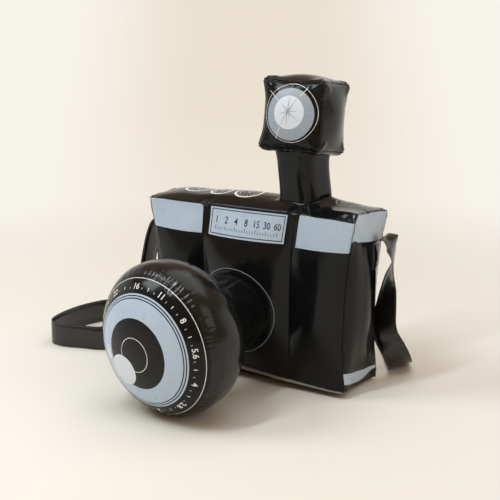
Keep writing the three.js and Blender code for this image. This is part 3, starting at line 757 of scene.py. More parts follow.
def ball_film(u, angle):
    """Points of the ball's film: u from the front pole to the rear, angle about the axis."""
    u, angle = np.broadcast_arrays(np.asarray(u, float), np.asarray(angle, float))
    step = 1e-4
    r0, a0 = ball_outline(np.maximum(u - step, 0))
    r1, a1 = ball_outline(np.minimum(u + step, 1))
    size = np.maximum(np.hypot(r1 - r0, a1 - a0), 1e-12)
    in_r, in_a = (a1 - a0) / size, -(r1 - r0) / size
    at_pole = u < 1e-6
    in_r, in_a = np.where(at_pole, 0, in_r), np.where(at_pole, -1, in_a)
    radius, place = ball_outline(u)
    dip = np.zeros(u.shape)
    for seam, creases, valley in SEAMS:
        along = (u - seam) * math.pi * BALL_RADIUS
        dip += valley * np.exp(-((along / 7) ** 2))
        near = np.abs(along) < 60
        if not near.any():
            continue
        span, turn = along[near], angle[near]
        total = np.zeros(span.shape)
        for at, depth, width, ahead, behind, slant in creases:
            across = turn_from(turn, at) * CREASE_RADIUS - slant * span
            reach = np.where(span < 0, ahead, behind)
            total += depth / (1 + (across / width) ** 2) * np.exp(-((np.abs(span) / reach) ** 2))
        dip[near] += total
    dip -= 2.6 * np.maximum(np.sin(angle), 0) ** 2 * np.exp(-(((u - 0.5) / 0.1) ** 2))
    radius, place = radius + in_r * dip, place + in_a * dip
    around = np.cos(angle)[..., None] * BALL_RIGHT + np.sin(angle)[..., None] * BALL_UP
    return BALL + place[..., None] * BALL_WAY + radius[..., None] * around


def ball_normal(u, angle):
    step = 1e-3
    du = ball_film(u + step, angle) - ball_film(np.maximum(u - step, 0), angle)
    da = ball_film(u, angle + step) - ball_film(u, angle - step)
    out = unit(np.cross(da, du))
    return out * np.sign(np.einsum("...i,...i->...", out, ball_film(u, angle) - BALL))[..., None]


AROUND = full_turn(960)
# Printed rings of the ball's front: inner radius and ink of each
RING_BOUNDS = [
    (0.6, DARK), (22.2, WHITE), (23.1, DARK), (47.0, SILVER), (69.3, DARK), (70.6, SILVER), (72.2, DARK),
    (73.5, SILVER), (75.4, BLACK), (91.0, WHITE), (91.6, BLACK), (93.4, BLACK), (SEAM_RADIUS, BLACK),
]


def ball_grid(u, slot=0):
    return Parts().grid(ball_film(np.array(u)[:, None], AROUND[None]), slot, closed=True, outward=ball_out)


RING_STEP = 2.2
front_u, front_slot = [], []
for (low, slot), (high, _) in zip(RING_BOUNDS[:-1], RING_BOUNDS[1:]):
    count = math.ceil((high - low) / RING_STEP)
    front_u += [outline_at(low + (high - low) * i / count, 0.0, 0.5) for i in range(count)]
    front_slot += [slot] * count
front_u.append(FRONT_SEAM)
pole = [ball_film(np.array(0.0), np.array(0.0))] + list(ball_film(np.full(AROUND.shape, front_u[0]), AROUND))
fan = [[0, i + 1, (i + 1) % len(AROUND) + 1] for i in range(len(AROUND))]
ball_front = ball_grid(front_u, np.repeat(np.array(front_slot)[:, None], len(AROUND), 1)).face(pole, fan, DARK)
ball_front = ball_front.piece("lens_front_film", INKS[:4])
finish_piece(ball_front, "lens_ball", "printed_film", ["lens_front_panel"])

band_u = np.concatenate([
    FRONT_SEAM + (0.5 - FRONT_SEAM) * np.linspace(0, 1, 18, endpoint=False),
    0.5 + (REAR_SEAM - 0.5) * np.linspace(0, 1, 20),
])
band = ball_grid(band_u).piece("lens_band_film", [band_film])
finish_piece(band, "lens_ball", "black_film", ["lens_band"])
rear = ball_grid(np.linspace(REAR_SEAM, NECK_MOUTH, 22)).piece("lens_rear_film", [black_film])
finish_piece(rear, "lens_ball", "black_film", ["lens_rear_panel"])

SEAM_WIDE, SEAM_PROUD = 1.3, 0.35
SEAM_PROFILE = [(-0.5, -0.6), (-0.42, 0.55), (-0.15, 1.0), (0.15, 1.0), (0.42, 0.55), (0.5, -0.6)]
seams = Parts()
for u in (FRONT_SEAM, REAR_SEAM):
    middle = ball_film(np.full(AROUND.shape, u), AROUND)
    out = ball_normal(np.full(AROUND.shape, u), AROUND)
    along = unit(np.cross(out, np.roll(middle, -1, 0) - np.roll(middle, 1, 0)))
    rows = np.stack([middle + along * SEAM_WIDE * w + out * SEAM_PROUD * h for w, h in SEAM_PROFILE])
    seams.grid(rows, 0, closed=True, outward=ball_out)
finish_piece(seams.piece("lens_weld_lines", [black_film]), "lens_ball", "black_film")


# Necks: film tubes between two openings

NECK_AROUND = full_turn(220)


def tube(start, start_way, end, end_way, half, power, turn, u):
    """Points of a bent tube."""
    reach = np.linalg.norm(end - start) / 3
    first, second = start + start_way * reach, end - end_way * reach
    u = u[:, None]
    centre = start * (1 - u) ** 3 + 3 * first * u * (1 - u) ** 2 + 3 * second * u * u * (1 - u) + end * u**3
    way = unit((first - start) * (1 - u) ** 2 + 2 * (second - first) * u * (1 - u) + (end - second) * u * u)
    right = unit(X - way * way[:, :1])
    up = np.cross(way, right)
    angle = (NECK_AROUND + turn)[None, :, None]
    out = np.cos(angle) * right[:, None] + np.sin(angle) * up[:, None]
    return centre[:, None] + (half * square_round(NECK_AROUND, power)[None])[..., None] * out


def neck_creases(seed, count, depth, u, length, reach, ends):
    rng = np.random.default_rng(seed)
    dent = np.zeros((len(u), len(NECK_AROUND)))
    for end in ends:
        distance = np.abs(u - end)[:, None] * length
        for i in range(count):
            around = turn_from(NECK_AROUND, 2 * math.pi * (i + rng.uniform(-0.3, 0.3)) / count)
            shape = depth * rng.uniform(0.3, 1.1) / (1 + (around / rng.uniform(0.03, 0.055)) ** 2)
            dent += shape[None] * np.exp(-((distance / (reach * rng.uniform(0.6, 1.4))) ** 1.5))
    return dent


lens_neck_start = np.array([LENS_X, -66.4, LENS_Z])
lens_neck_end = BALL + BALL_WAY * (ball_outline(NECK_MOUTH)[1] + 3)
neck_u = np.linspace(0, 1, 44)
LENS_NECK_HALF, BALL_NECK_HALF = 54, 50
lens_half = LENS_NECK_HALF + (BALL_NECK_HALF - LENS_NECK_HALF) * smooth_step(0, 1, neck_u)
lens_dent = neck_creases(7, 30, 1.3, neck_u, 80, 11, (0.0, 1.0))
lens_neck = tube(
    lens_neck_start, -Y, lens_neck_end, BALL_WAY, lens_half[:, None] - lens_dent, 2.0, 0.0, neck_u)
lens_neck_piece = Parts().grid(
    lens_neck, 0, closed=True,
    outward=lambda p: p - (lens_neck_start + np.outer((p - lens_neck_start) @ -Y, -Y)),
).piece("lens_neck_film", [black_film])
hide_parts("lens_neck")
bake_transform(lens_neck_piece)

# Flash head

LEAN = math.radians(9)
FLASH = np.array([60.5, 0.0, 371.5])
TURN = np.array([[1, 0, 0], [0, math.cos(LEAN), math.sin(LEAN)], [0, -math.sin(LEAN), math.cos(LEAN)]])
FLASH_HALF = np.array([47.4, 41.2, 49.8])
flash_puckers = all_puckers(9, FLASH_HALF, 7.2, 1.0, 1.5, 6.5, by_edge({
    "right top": 0.7, "front top": 0.45, "front bottom": 0.6, "front right": 0.25, "front left": 0.5,
    "left top": 0.6, "back top": 0.8,
}))
flash_puckers[pair("right", "bottom")] = edge_puckers(
    np.random.default_rng(31), 2 * FLASH_HALF[1], 4.6, 1.5, 0.9, 9.0, 0.6)
FLASH_CROWNS = {"front": 9.0, "back": 7.0, "top": 5.5, "bottom": 5.0, "left": 6.5, "right": 6.5}


def flash_slack(_, points):
    """The left edges and the right rear edge curve inward between the ears, and the front top edge sags."""
    x, y, z = np.moveaxis(points, -1, 0)
    shift = np.zeros(points.shape)
    middle = np.clip(1 - (z / 47) ** 2, 0, 1)
    shift[..., 0] += 2.4 * middle * smooth_step(18, 46, -x)
    rear_right = middle * smooth_step(14, 46, x) * smooth_step(-14, 38, y)
    shift[..., 0] -= 3.0 * rear_right
    shift[..., 1] -= 2.0 * rear_right
    shift[..., 2] -= 2.2 * np.clip(1 - (x / 42) ** 2, 0, 1) * smooth_step(18, 48, z) * smooth_step(12, 40, -y)
    shift[..., 0] -= 2.8 * smooth_step(22, 46, -x) * smooth_step(16, 46, np.abs(z))
    return shift


flash_bag = {
    "name": "flash",
    "body": "flash_head",
    "half": FLASH_HALF,
    "draw": np.array([[0, 3, 3], [3, 0, 3], [3, 3, 0.0]]),
    "taper": 0,
    "round": 6.5,
    "rounds": by_edge({"front right": 4.0}),
    "ear": (1.6, 26.0, 0.0),
    "tips": box_tips(FLASH_HALF, 0, 3.6, 3.6, 10.0),
    "lips": {},
    "floor": math.inf,
    "crown": {face: soft_crown(high) for face, high in FLASH_CROWNS.items()},
    "puckers": flash_puckers,
    "slack": flash_slack,
    "place": lambda p: p @ TURN.T + FLASH,
    "back": lambda p: (p - FLASH) @ TURN,
    "turn": lambda v: v @ TURN.T,
}


def outside_neck(points):
    middle = (cells(points) - FLASH) @ TURN
    return neck_reach(middle[..., 0], middle[..., 1]) > FLASH_HOLE


for face, (_, across, along, _) in FACES.items():
    columns, rows = (spaced([-FLASH_HALF[axis], FLASH_HALF[axis]], 1.6) for axis in (across, along))
    film, slot = (black_film, "printed_film") if face == "front" else (band_film, "black_film")
    film_piece(flash_bag, face, columns, rows, [film], slot, keep=outside_neck if face == "bottom" else None)

flash_fins = weld_fins(flash_bag, 0.65, 0.5, 1.8, {}).piece("flash_weld_lips", [black_film])
finish_piece(flash_fins, "flash_head", "black_film")

# Flash neck: waisted, wider at the head, creased, folded down its front right corner and low at the right
NECK_LENGTH = 78
flash_neck_start = np.array([NECK_X, 0.0, 250.5])
flash_neck_end = np.array([NECK_X - 0.8, -6.8, 328.4])
flash_u = np.linspace(0, 1, 48)
flash_half_at = FLASH_NECK_HALF - 1.2 * np.sin(math.pi * flash_u)
flash_half_at += 2.6 * np.exp(-(((1 - flash_u) * NECK_LENGTH / 9) ** 2))
flash_dent = neck_creases(8, 22, 0.45, flash_u, NECK_LENGTH, 7, (0.08, 1.0))
corner = -math.pi / 4 + 0.13 * np.sin(flash_u * 6.0 + 0.6) - 0.03
corner_fold = np.exp(-((turn_from(NECK_AROUND[None], corner[:, None]) / 0.2) ** 2))
flash_dent += 1.1 * corner_fold * np.sin(math.pi * np.clip(flash_u, 0.02, 0.98))[:, None] ** 0.5
low_fold = np.exp(-(((flash_u * NECK_LENGTH - 11.5) / 2.4) ** 2))
flash_dent += 4.2 * np.exp(-((turn_from(NECK_AROUND, 0.14) / 0.42) ** 4))[None] * low_fold[:, None]
flash_neck = tube(
    flash_neck_start, Z, flash_neck_end, TURN @ Z, flash_half_at[:, None] - flash_dent, FLASH_NECK_POWER,
    FLASH_NECK_TURN, flash_u,
)
flash_neck_piece = Parts().grid(
    flash_neck, 0, closed=True,
    outward=lambda p: (p - flash_neck_start) * np.array([1, 1, 0]),
).piece("flash_neck_film", [black_film])
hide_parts("flash_neck")
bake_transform(flash_neck_piece)


# Strap: the route's points, with the way across the band at each

STRAP_ROUTE = np.array([
    [162.6, 20.2, 205.5, -0.19, 0.98, 0],
    [166, 20.8, 210, -0.12, 0.98, 0.02],
    [172.5, 22.5, 212, 0, 0.98, 0],
    [179.5, 26, 206.8, 0.1, 0.98, 0.02],
    [181, 31, 194, -0.2, 0.97, 0.04],
    [178.5, 38.5, 172, -0.42, 0.9, 0],
    [170.5, 47, 143, -0.8, 0.6, 0],
    [161.5, 56.5, 107.4, -0.95, 0.3, 0],
    [155.2, 65, 80.3, -0.97, 0.05, -0.1],
    [156.2, 69.5, 58.6, -0.8, -0.2, -0.54],
    [166, 71, 41.5, -0.73, -0.37, -0.56],
    [170.8, 78.5, 25.5, -0.75, -0.52, -0.42],
    [167, 95, 11, -0.77, -0.58, -0.25],
    [150, 124, 4, -0.84, -0.52, -0.05],
    [120, 172, 3, -0.85, -0.52, 0],
    [88, 216, 3, -0.75, -0.65, 0],
    [40, 240, 3, -0.35, -0.93, 0],
    [-50, 240, 3, 0.05, -1, 0],
    [-150, 212, 8, 0.25, -0.9, -0.4],
    [-230, 166, 16, 0.2, -0.4, -0.9],
    [-290, 116, 19, 0, 0, -1],
    [-336, 78, 19, 0, 0, -1],
    [-354, 30, 19, 0, 0, -1],
    [-354, -32, 19, 0, 0, -1],
    [-342, -60, 19, 0, 0, -1],
    [-320, -66, 19, 0, 0, -1],
    [-286, -58, 19, 0, 0, -1],
    [-252, -46, 20, 0, -0.1, -1],
    [-219, -32, 38, 0.1, -0.7, -0.8],
    [-203, -18, 80, 0, -1, -0.2],
    [-198, -8, 132, -0.05, -1, 0],
    [-193.5, 2, 178, -0.05, -1, 0],
    [-187.5, 8, 199.5, 0, -1, 0],
    [-177.5, 10, 206.5, -0.05, -1, 0],
    [-168.6, 10, 202.5, -0.07, -1, 0],
    [-164.6, 10, 195.5, -0.07, -1, 0],
])


def route_curve(points, count):
    """Centripetal curve through the points, sampled evenly between them."""
    ends = np.concatenate([[2 * points[0] - points[1]], points, [2 * points[-1] - points[-2]]])
    found = []
    for place in np.linspace(0, len(points) - 1, count):
        i = min(int(place), len(points) - 2)
        w = place - i
        p0, p1, p2, p3 = ends[i:i + 4]
        d0, d1, d2 = (max(np.linalg.norm(b - a) ** 0.5, 1e-4) for a, b in ((p0, p1), (p1, p2), (p2, p3)))
        d0, d2 = (d1 if d < 1e-2 else d for d in (d0, d2))
        t1 = ((p1 - p0) / d0 - (p2 - p0) / (d0 + d1) + (p2 - p1) / d1) * d1
        t2 = ((p2 - p1) / d1 - (p3 - p1) / (d1 + d2) + (p3 - p2) / d2) * d1
        c2, c3 = -3 * p1 + 3 * p2 - 2 * t1 - t2, 2 * p1 - 2 * p2 + t1 + t2
        found.append(p1 + t1 * w + c2 * w * w + c3 * w**3)
    return np.array(found)


STRAP_ROWS = 720
strap_line = route_curve(STRAP_ROUTE[:, :3], STRAP_ROWS)
strap_lie = route_curve(STRAP_ROUTE[:, 3:], STRAP_ROWS)
strap_way = unit(np.gradient(strap_line, axis=0))
strap_lie = unit(strap_lie - strap_way * np.einsum("ij,ij->i", strap_lie, strap_way)[:, None])
strap_face = np.cross(strap_way, strap_lie)
strap_run = np.concatenate([[0], np.cumsum(np.linalg.norm(np.diff(strap_line, axis=0), axis=1))])

# Points around the band's section: (across, out), with a welded line by each edge
STRAP_HALF = 18.0
upper = [
    (-STRAP_HALF, 0.0), (-17.8, 0.32), (-17.2, 0.45), (-15.6, 0.45), (-15.1, 0.2), (-14.6, 0.45), (-8, 0.62),
    (0, 0.68), (8, 0.62), (14.6, 0.45), (15.1, 0.2), (15.6, 0.45), (17.2, 0.45), (17.8, 0.32),
    (STRAP_HALF, 0.0),
]
section = np.array(upper + [(w, -f) for w, f in upper[-2:0:-1]])
wobble = 0.5 * np.sin(strap_run / 37.0) + 0.35 * np.sin(strap_run / 17.0 + 1.0)
bow = (section[:, 0] / STRAP_HALF) ** 2
strap_points = (
    strap_line[:, None]
    + section[None, :, :1] * strap_lie[:, None]
    + (section[None, :, 1] + wobble[:, None] * 0.5 * (bow[None] - 0.4))[..., None] * strap_face[:, None]
)
# A fold of the outer edge just past the crest over the right tab
crest = int(np.argmax(strap_line[:120, 2]))
fold = np.exp(-(((strap_run - (strap_run[crest] + 9.5)) / 3.2) ** 2))[:, None]
outer_edge = smooth_step(9, STRAP_HALF, section[:, 0])[None] * fold
strap_points += 4.2 * outer_edge[..., None] * np.array([0.9, 0.3, -0.12])
strap = Parts().grid(strap_points, 0, closed=True).caps(strap_points).piece("carry_strap", [strap_film])
finish_piece(strap, "camera_body", "strap_film", ["strap"])


# Prints: inks lie a hair above the film that carries them

INK_LIFT = 0.2


def flat_text(string, size, bold):
    """Filled outline of a number: points from its middle, and faces."""
    curve = bpy.data.curves.new("number", "FONT")
    curve.body = string
    curve.size = size
    curve.offset = bold * size
    curve.align_x = "CENTER"
    curve.resolution_u = 4
    holder = bpy.data.objects.new("number", curve)
    bpy.context.scene.collection.objects.link(holder)
    mesh = holder.to_mesh()
    points = np.array([v.co[:2] for v in mesh.vertices])
    faces = [list(p.vertices) for p in mesh.polygons]
    holder.to_mesh_clear()
    bpy.data.objects.remove(holder)
    bpy.data.curves.remove(curve)
    return points, faces


def ring_print(parts, over, inner, outer, slot, count, step=1.6):
    """Ring between two radii, laid over a face by the given function of plane offsets."""
    radii = np.linspace(max(inner, 0.02), outer, max(2, math.ceil((outer - inner) / step) + 1))
    a, r = np.meshgrid(full_turn(count), radii)
    parts.grid(over(r * np.cos(a), r * np.sin(a)), slot, closed=True, outward=over.way)


def ray_print(parts, over, angle, near, far, wide_near, wide_far, slot):
    length = np.linspace(near, far, 14)
    wide = np.interp(length, [near, far], [wide_near, wide_far]) / 2
    across = np.array([-1.0, 1.0])[:, None] * wide
    x = length * math.cos(angle) - across * math.sin(angle)
    y = length * math.sin(angle) + across * math.cos(angle)
    parts.grid(over(x, y), slot, outward=over.way)


class OverFace:
    """Lays plane offsets from a centre on a bag's face."""

    def __init__(self, bag, face, centre, lift):
        self.bag, self.face, self.centre, self.lift = bag, face, centre, lift
        self.way = along_way(bag["turn"](face_way(face)))

    def __call__(self, x, y):
        s, t = film_params(self.bag, self.face, self.centre[0] + x, self.centre[1] + y)
        return over_film(self.bag, self.face, s, t, self.lift)


# Ball: aperture numbers with marks, and two printed glints

arc_u = np.linspace(0, FRONT_SEAM, 900)
arc_r, arc_a = ball_outline(arc_u)
arc_run = np.concatenate([[0], np.cumsum(np.hypot(np.diff(arc_r), np.diff(arc_a)))])


def on_ball(run, angle):
    """Points on the ball's front, by the way along the film from the pole and the angle."""
    u = np.interp(run, arc_run, arc_u)
    return ball_film(u, angle) + INK_LIFT * ball_normal(u, angle)


NUMBERS_RUN = float(np.interp(80.2, arc_r, arc_run))
NUMBERS_RADIUS = 83.0
STOPS = ["22", "16", "11", "8", "5.6", "4", "2.8", "2", "1.4", "32", "45", "64"]
STOP_MARKS = ((-0.5, 0.55, 4.6), (-0.25, 0.3, 2.6), (0.25, 0.3, 2.6))
lens_print = Parts()
for i, stop in enumerate(STOPS):
    middle = math.radians(128 - 30 * i)
    points, faces = flat_text(stop, 11.0, 0.016)
    lens_print.face(on_ball(NUMBERS_RUN + points[:, 1], middle - points[:, 0] / NUMBERS_RADIUS), faces, WHITE)
    for k, wide, tall in STOP_MARKS:
        sides = middle - math.radians(30) * k + np.array([-wide, wide]) / NUMBERS_RADIUS
        run, angle = np.meshgrid(NUMBERS_RUN + np.linspace(0, tall, 4), sides)
        lens_print.grid(on_ball(run, angle), WHITE, outward=ball_out)


def glint(run_at, angle_at, half_run, half_across, tilt):
    angle, size = np.meshgrid(full_turn(72), np.linspace(0.02, 1, 9))
    x, y = half_across * size * np.cos(angle), half_run * size * np.sin(angle)
    c, s = math.cos(tilt), math.sin(tilt)
    a, b = run_at * math.cos(angle_at) + x * c - y * s, run_at * math.sin(angle_at) + x * s + y * c
    lens_print.grid(on_ball(np.hypot(a, b), np.arctan2(b, a)), PALE, closed=True, outward=ball_out)


glint(36.5, math.radians(227), 21.6, 24.0, math.radians(20))
glint(57.5, math.radians(190), 10.5, 6.5, math.radians(12))
finish_piece(lens_print.piece("lens_print", INKS), "lens_ball", "printed_film")

# Flash: reflector with a burst of rays, as (angle, far end) and (angle, near end, far end); the outer rays
# that pass STRONG_RAY are wide and white

INNER_RAYS = (
    (88, 21), (57, 20), (38, 9), (2, 13), (-38, 19), (-63, 10), (-93, 21), (-118, 23), (-160, 12), (138, 14),
)
OUTER_RAYS = (
    (142, 21, 41.5), (54, 25, 41), (90, 26, 35), (-116, 24, 41), (-92, 26, 36), (0, 26, 34), (-42, 26, 37),
)
STRONG_RAY = 40
flash_print = Parts()
ring_print(flash_print, OverFace(flash_bag, "front", (1.2, 2.6), 0.3), 0.0, 22.0, PALE, 120)
ring_print(flash_print, OverFace(flash_bag, "front", (2.0, 0.4), 0.22), 0.0, 34.4, GREY, 160)
ring_print(flash_print, OverFace(flash_bag, "front", (2.8, 1.9), 0.3), 37.8, 38.4, WHITE, 240, 0.5)
burst = OverFace(flash_bag, "front", (0.4, 4.2), 0.4)
for turn, far in INNER_RAYS:
    ray_print(flash_print, burst, math.radians(turn), 0.3, far, 1.5, 0.4, GREY)
for turn, near, far in OUTER_RAYS:
    look = (0.9, 0.7, WHITE) if far > STRONG_RAY else (0.5, 0.3, SILVER)
    ray_print(flash_print, burst, math.radians(turn), near, far, *look)
finish_piece(flash_print.piece("flash_print", INKS), "flash_head", "printed_film")

# Top: dials with rings and marks, as (x, y, radius, marks, ink, width of the rim)

DIALS = (
    (-116.0, 8.0, 19.8, 12, WHITE, 3.2),
    (-69.5, -3.0, 16.9, 16, WHITE, 3.0),
    (-24.0, -3.5, 21.5, 20, WHITE, 3.2),
    (124.0, 12.0, 19.0, 12, GREY, 1.6),
)
top_print = Parts()
for x, y, radius, marks, slot, width in DIALS:
    over = OverFace(body_bag, "top", (x, y), INK_LIFT)
    ring_print(top_print, over, radius - width, radius, slot, 120, 0.8)
    ring_print(top_print, over, radius * 0.62 - 0.5, radius * 0.62, slot, 90, 0.8)
    for i in range(marks):
        ray_print(top_print, over, 2 * math.pi * i / marks, radius * 0.68, radius * 0.82, 0.9, 0.9, slot)
    ring_print(top_print, over, 0.0, radius * 0.11, slot, 40)
finish_piece(top_print.piece("top_print", INKS), "camera_body", "printed_film")

# Front: the plate's plain number scale, and a thin grey ring around the lens neck, partly print and partly a
# painted highlight of the weld's edge

SCALE_STEP = 16.4
SCALE_END = 52
SCALE_FOOT = -10.5
plate_print = Parts()
plate_over = OverFace(body_bag, "front", (-1.2, 98.0), INK_LIFT)
for i, number in enumerate(["1", "2", "4", "8", "15", "30", "60"]):
    points, faces = flat_text(number, 13.0, 0.004)
    points[:, 0] *= 0.86
    place = (i - 3) * SCALE_STEP
    plate_print.face(plate_over(points[:, 0] + place, points[:, 1] - 2.0), faces, DARK)
    for k in range(4):
        tall = 5.2 if k == 0 else 3.0
        at = place + SCALE_STEP * k / 4
        if at <= SCALE_END:
            x, y = np.meshgrid(at + np.array([-0.35, 0.35]), np.linspace(SCALE_FOOT, SCALE_FOOT + tall, 3))
            plate_print.grid(plate_over(x, y), DARK, outward=plate_over.way)
# Grey ink ring at the weld's outer edge: partly a painted highlight of the weld lip.
ring_print(plate_print, OverFace(body_bag, "front", LENS, 0.25), 60.1, 60.9, GREY, 240, 0.7)
finish_piece(plate_print.piece("plate_print", INKS), "camera_body", "printed_film")


# Tabs that carry the strap

TAB_ACROSS = np.array([-18, -17.6, -17, -14.6, -14.1, -13.6, -7, 0, 7, 13.6, 14.1, 14.6, 17, 17.6, 18.0])
TAB_ALONG = np.array([-17, -16.6, -16, -13.6, -13.1, -12.6, -6, 0, 6, 12, 15.6, 16.6, 17.0])


def tab(face, y_middle, z_middle):
    """Welded patch with a groove along three sides and a raised middle."""
    a, l = np.meshgrid(TAB_ACROSS, TAB_ALONG)
    rim = np.minimum(TAB_ACROSS[-1] - np.abs(a), TAB_ALONG[-1] - np.abs(l))
    lift = 0.35 + 1.6 * smooth_step(0, 1.2, rim)
    groove = (np.abs(np.abs(a) - 14.1) < 0.1) & (l > -13.2) | (np.abs(l + 13.1) < 0.1) & (np.abs(a) < 14.2)
    lift = lift - 0.6 * groove + 0.9 * smooth_step(3.9, 9, rim)
    s, t = film_params(body_bag, face, y_middle + a, z_middle - MID_Z + l)
    points = over_film(body_bag, face, s, t, lift)
    base = over_film(body_bag, face, s, t, 0.25)
    parts = Parts().grid(points, 0, outward=along_way(face_way(face)))
    for edge in (np.s_[0], np.s_[-1], np.s_[:, 0], np.s_[:, -1]):
        parts.grid(np.stack([points[edge], base[edge]]), 0, outward=away_from(points.mean((0, 1))))
    return parts


for face, y_middle, z_middle in (("right", 20.0, 188.0), ("left", 10.0, 178.0)):
    piece = tab(face, y_middle, z_middle).piece(f"strap_patch_{face}", [black_film])
    finish_piece(piece, "camera_body", "black_film", [f"strap_tab_{face}"])


# Air valve on the back

VALVE_AT = np.array([0.0, 71.0, MID_Z])


def tongue(parts, near, far):
    """Rounded hinge tongue under the valve's axis, between two places along +Y."""
    top, low, half, bevel = -4.0, -9.2, 2.6, 0.25
    bend = np.linspace(0, -math.pi, 15)
    outline = np.concatenate([
        [(half, top)], np.stack([half * np.cos(bend), low + half + half * np.sin(bend)], -1), [(-half, top)],
    ])
    centre = np.array([0, (top + low) / 2])
    rows = []
    for inset, place in ((bevel, near), (0.0, near + bevel), (0.0, far - bevel), (bevel, far)):
        flat = centre + (outline - centre) * (1 - inset / half)
        rows.append(VALVE_AT + place * Y + flat[:, :1] * X + flat[:, 1:] * Z)
    rows = np.stack(rows)
    middle = VALVE_AT + (near + far) / 2 * Y + centre[1] * Z
    parts.grid(rows, 0, closed=True, outward=away_from(middle)).caps(rows)


def turned(name, profile, body, replaced, ear=None, material=valve_plastic, slot="valve_plastic"):
    """Piece turned about the valve's axis from a profile of (radius, place along +Y); an ear adds a tongue."""
    closed = profile + [profile[0]]
    area = sum(r0 * a1 - r1 * a0 for (r0, a0), (r1, a1) in zip(closed[:-1], closed[1:]))
    if area >= 0:
        closed.reverse()
    angle = full_turn(72)[:, None]
    ring = np.cos(angle) * X + np.sin(angle) * Z
    rows = np.stack([VALVE_AT + place * Y + radius * ring for radius, place in closed])
    parts = Parts().grid(rows, 0, closed=True)
    if ear:
        tongue(parts, *ear)
    finish_piece(parts.piece(name, [material]), body, slot, [replaced])


turned("valve_flange", [
    (5.9, 0.6), (5.9, 1.5), (6.6, 1.9), (8.0, 1.9), (8.6, 1.45), (9.2, 1.25), (12.4, 1.25), (12.8, 1.0),
    (13.2, 1.25), (14.4, 1.2), (15.0, 0.8), (15.0, 0.6),
], "camera_body", "valve_base")
turned("valve_tube", [
    (3.4, -13.9), (3.4, 12.7), (3.75, 13.3), (5.0, 13.3), (5.5, 12.8), (5.5, 11.4), (5.2, 11.0), (5.2, 2.4),
    (5.5, 2.0), (5.5, -13.6), (5.2, -14.0), (3.8, -14.0),
], "stem", "valve_stem", (12.1, 13.25))
turned("valve_cap", [
    (0.02, 9.15), (1.5, 9.2), (1.85, 9.6), (3.0, 13.0), (3.0, 13.6), (6.2, 13.6), (6.6, 14.0), (6.6, 15.4),
    (6.1, 16.0), (4.6, 16.0), (4.2, 15.6), (0.02, 15.6),
], "plug", "valve_plug", (13.65, 15.95))
turned("valve_leaf", [
    (0.02, -15.3), (5.2, -15.3), (5.5, -15.0), (5.5, -14.6), (5.2, -14.3), (0.02, -14.3),
], "flap", "valve_flap", material=flap_film, slot="flap_film")

for name in ("tie_web_left", "tie_web_right"):
    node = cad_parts[name]
    node.data.materials.clear()
    node.data.materials.append(web_film)


# Stage, light and camera

# Level ways across the photo's view and into it
VIEW_RIGHT, VIEW_IN = (0.857, 0.515, 0.0), (-0.515, 0.857, 0.0)


def stage_material():
    """Pale paper: lit near the object, and a glowing pale tone far from it for the eye and for reflections.
    Painted light: the far tone darkens with distance, and both are painted lighter towards the sides.
    """
    material, tree = new_material("studio_paper")
    coords = add_node(tree, "TexCoord").outputs["Object"]
    path = add_node(tree, "LightPath").outputs

    def vector(operation, *values):
        return add_node(tree, "VectorMath", dict(enumerate(values)), operation=operation).outputs["Value"]

    def number(operation, *values):
        return add_node(tree, "Math", dict(enumerate(values)), operation=operation).outputs["Value"]

    # Mixes in painted light: the paper is lighter towards the sides of the view.
    def tone(middle, beside):
        values = {"Factor": sides, "A": middle, "B": (*beside, 1)}
        return add_node(tree, "Mix", values, data_type="RGBA").outputs["Result"]

    reach = vector("LENGTH", coords)
    away = number("ABSOLUTE", vector("DOT_PRODUCT", coords, VIEW_RIGHT))
    wide = map_range(tree, vector("DOT_PRODUCT", coords, VIEW_IN), -2.0, 18.0, 1.0, 21.0)
    # Painted light: how far towards the sides of the view, where the paper is painted lighter.
    sides = map_range(tree, number("DIVIDE", away, wide), 0.03, 0.13, kind="SMOOTHSTEP")
    paper = colour_ramp(tree, noise(tree, coords, 1.1, 2.0), (0.905, 0.895, 0.845), (0.92, 0.91, 0.86))
    # Painted shade: the far tone darkens with distance from the object.
    depth = map_range(tree, reach, 0.6, 2.6)
    far_paper_painted_falloff = colour_ramp(tree, depth, (0.87, 0.80, 0.70), (0.832, 0.748, 0.635))
    bsdf = wire(tree, tree.nodes["Principled BSDF"], {
        "Base Color": tone(paper, (0.94, 0.935, 0.91)), "Roughness": 0.9, "Specular IOR Level": 0.1,
    })
    far_glow_painted_falloff = add_node(tree, "Emission", {"Color": tone(far_paper_painted_falloff, (0.93, 0.90, 0.83)), "Strength": 1.0})
    seen = number("MAXIMUM", path["Is Camera Ray"], path["Is Glossy Ray"])
    share = number("MULTIPLY", map_range(tree, reach, 0.4, 1.3, kind="SMOOTHSTEP"), seen)
    mix = add_node(tree, "MixShader", {
        "Fac": share, 1: bsdf.outputs["BSDF"], 2: far_glow_painted_falloff.outputs["Emission"],
    })
    wire(tree, tree.nodes["Material Output"], {"Surface": mix.outputs["Shader"]})
    return material


studio_paper = stage_material()


def stage_piece(name, outline, first, last, outward):
    angle = np.radians(np.linspace(first, last, 97))
    rows = np.stack([
        np.stack([r * np.cos(angle), r * np.sin(angle), np.full(angle.shape, z)], -1) for r, z in outline
    ])
    piece = Parts().grid(rows, 0, outward=outward).piece(name, [studio_paper])
    return piece


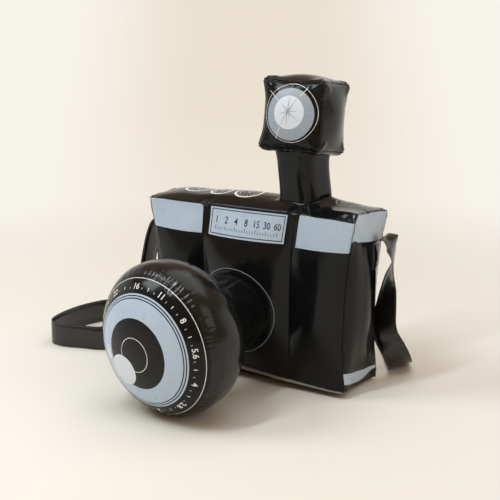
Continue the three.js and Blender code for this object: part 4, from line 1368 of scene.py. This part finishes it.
FLOOR = [(1.0, 0.0), (400.0, 0.0), (800.0, 0.0), (1600.0, 0.0), (3200.0, 0.0), (9000.0, 0.0)]
SWEEP = [
    (9000.0, 0.0), (10200.0, 120.0), (11300.0, 520.0), (12100.0, 1300.0), (12500.0, 2600.0), (12600.0, 6000.0),
]
SWEEP_MIDDLE = 3000 * Z


def inward(points):
    return SWEEP_MIDDLE - points


stage_piece("studio_paper", FLOOR, 0, 360, along_way(Z))
sweep_behind = stage_piece("studio_sweep_behind", SWEEP, 36, 206, inward)
sweep_ahead = stage_piece("studio_sweep_ahead", SWEEP, 206, 396, inward)
sweep_ahead.visible_glossy = False
for sweep in (sweep_behind, sweep_ahead):
    sweep.visible_diffuse = False
    sweep.visible_shadow = False


def aim(thing, place, target):
    thing.location = place
    thing.rotation_euler = (Vector(target) - thing.location).to_track_quat("-Z", "Y").to_euler()
    bpy.context.scene.collection.objects.link(thing)


def lamp(name, place, target, size, power, colour):
    data = bpy.data.lights.new(name, "AREA")
    data.shape = "RECTANGLE"
    data.size, data.size_y = size
    data.energy = power
    data.color = colour
    aim(bpy.data.objects.new(name, data), place, target)


lamp("key", (-1.5, -1.1, 2.0), (0, 0, 0.15), (0.9, 0.9), 19.5, (0.87, 0.965, 1.0))
lamp("fill", (1.9, -0.6, 1.3), (0, 0, 0.15), (1.2, 1.2), 5, (1.0, 0.95, 0.88))
lamp("top", (0.2, 0.5, 2.5), (0.1, 0.1, 0.1), (2.2, 2.4), 23, (0.89, 0.97, 1.0))
lamp("strip", (-0.27, -1.12, 1.97), (-0.02, -0.2, 0.15), (0.13, 0.9), 12.5, (0.87, 0.965, 1.0))

world = bpy.data.worlds.new("studio")
bpy.context.scene.world = world
world.use_nodes = True
background = world.node_tree.nodes["Background"]
background.inputs["Color"].default_value = (1.0, 0.70, 0.45, 1)
background.inputs["Strength"].default_value = 0.38

camera = bpy.data.objects.new("photo_camera", bpy.data.cameras.new("photo_camera"))
aim(camera, (0.8952, -1.5239, 0.6180), (-0.0259, 0, 0.1747))
camera.data.sensor_width = 36
camera.data.lens = 93.6
camera.data.clip_end = 50
bpy.context.scene.camera = camera
bpy.context.scene.view_settings.view_transform = "Standard"
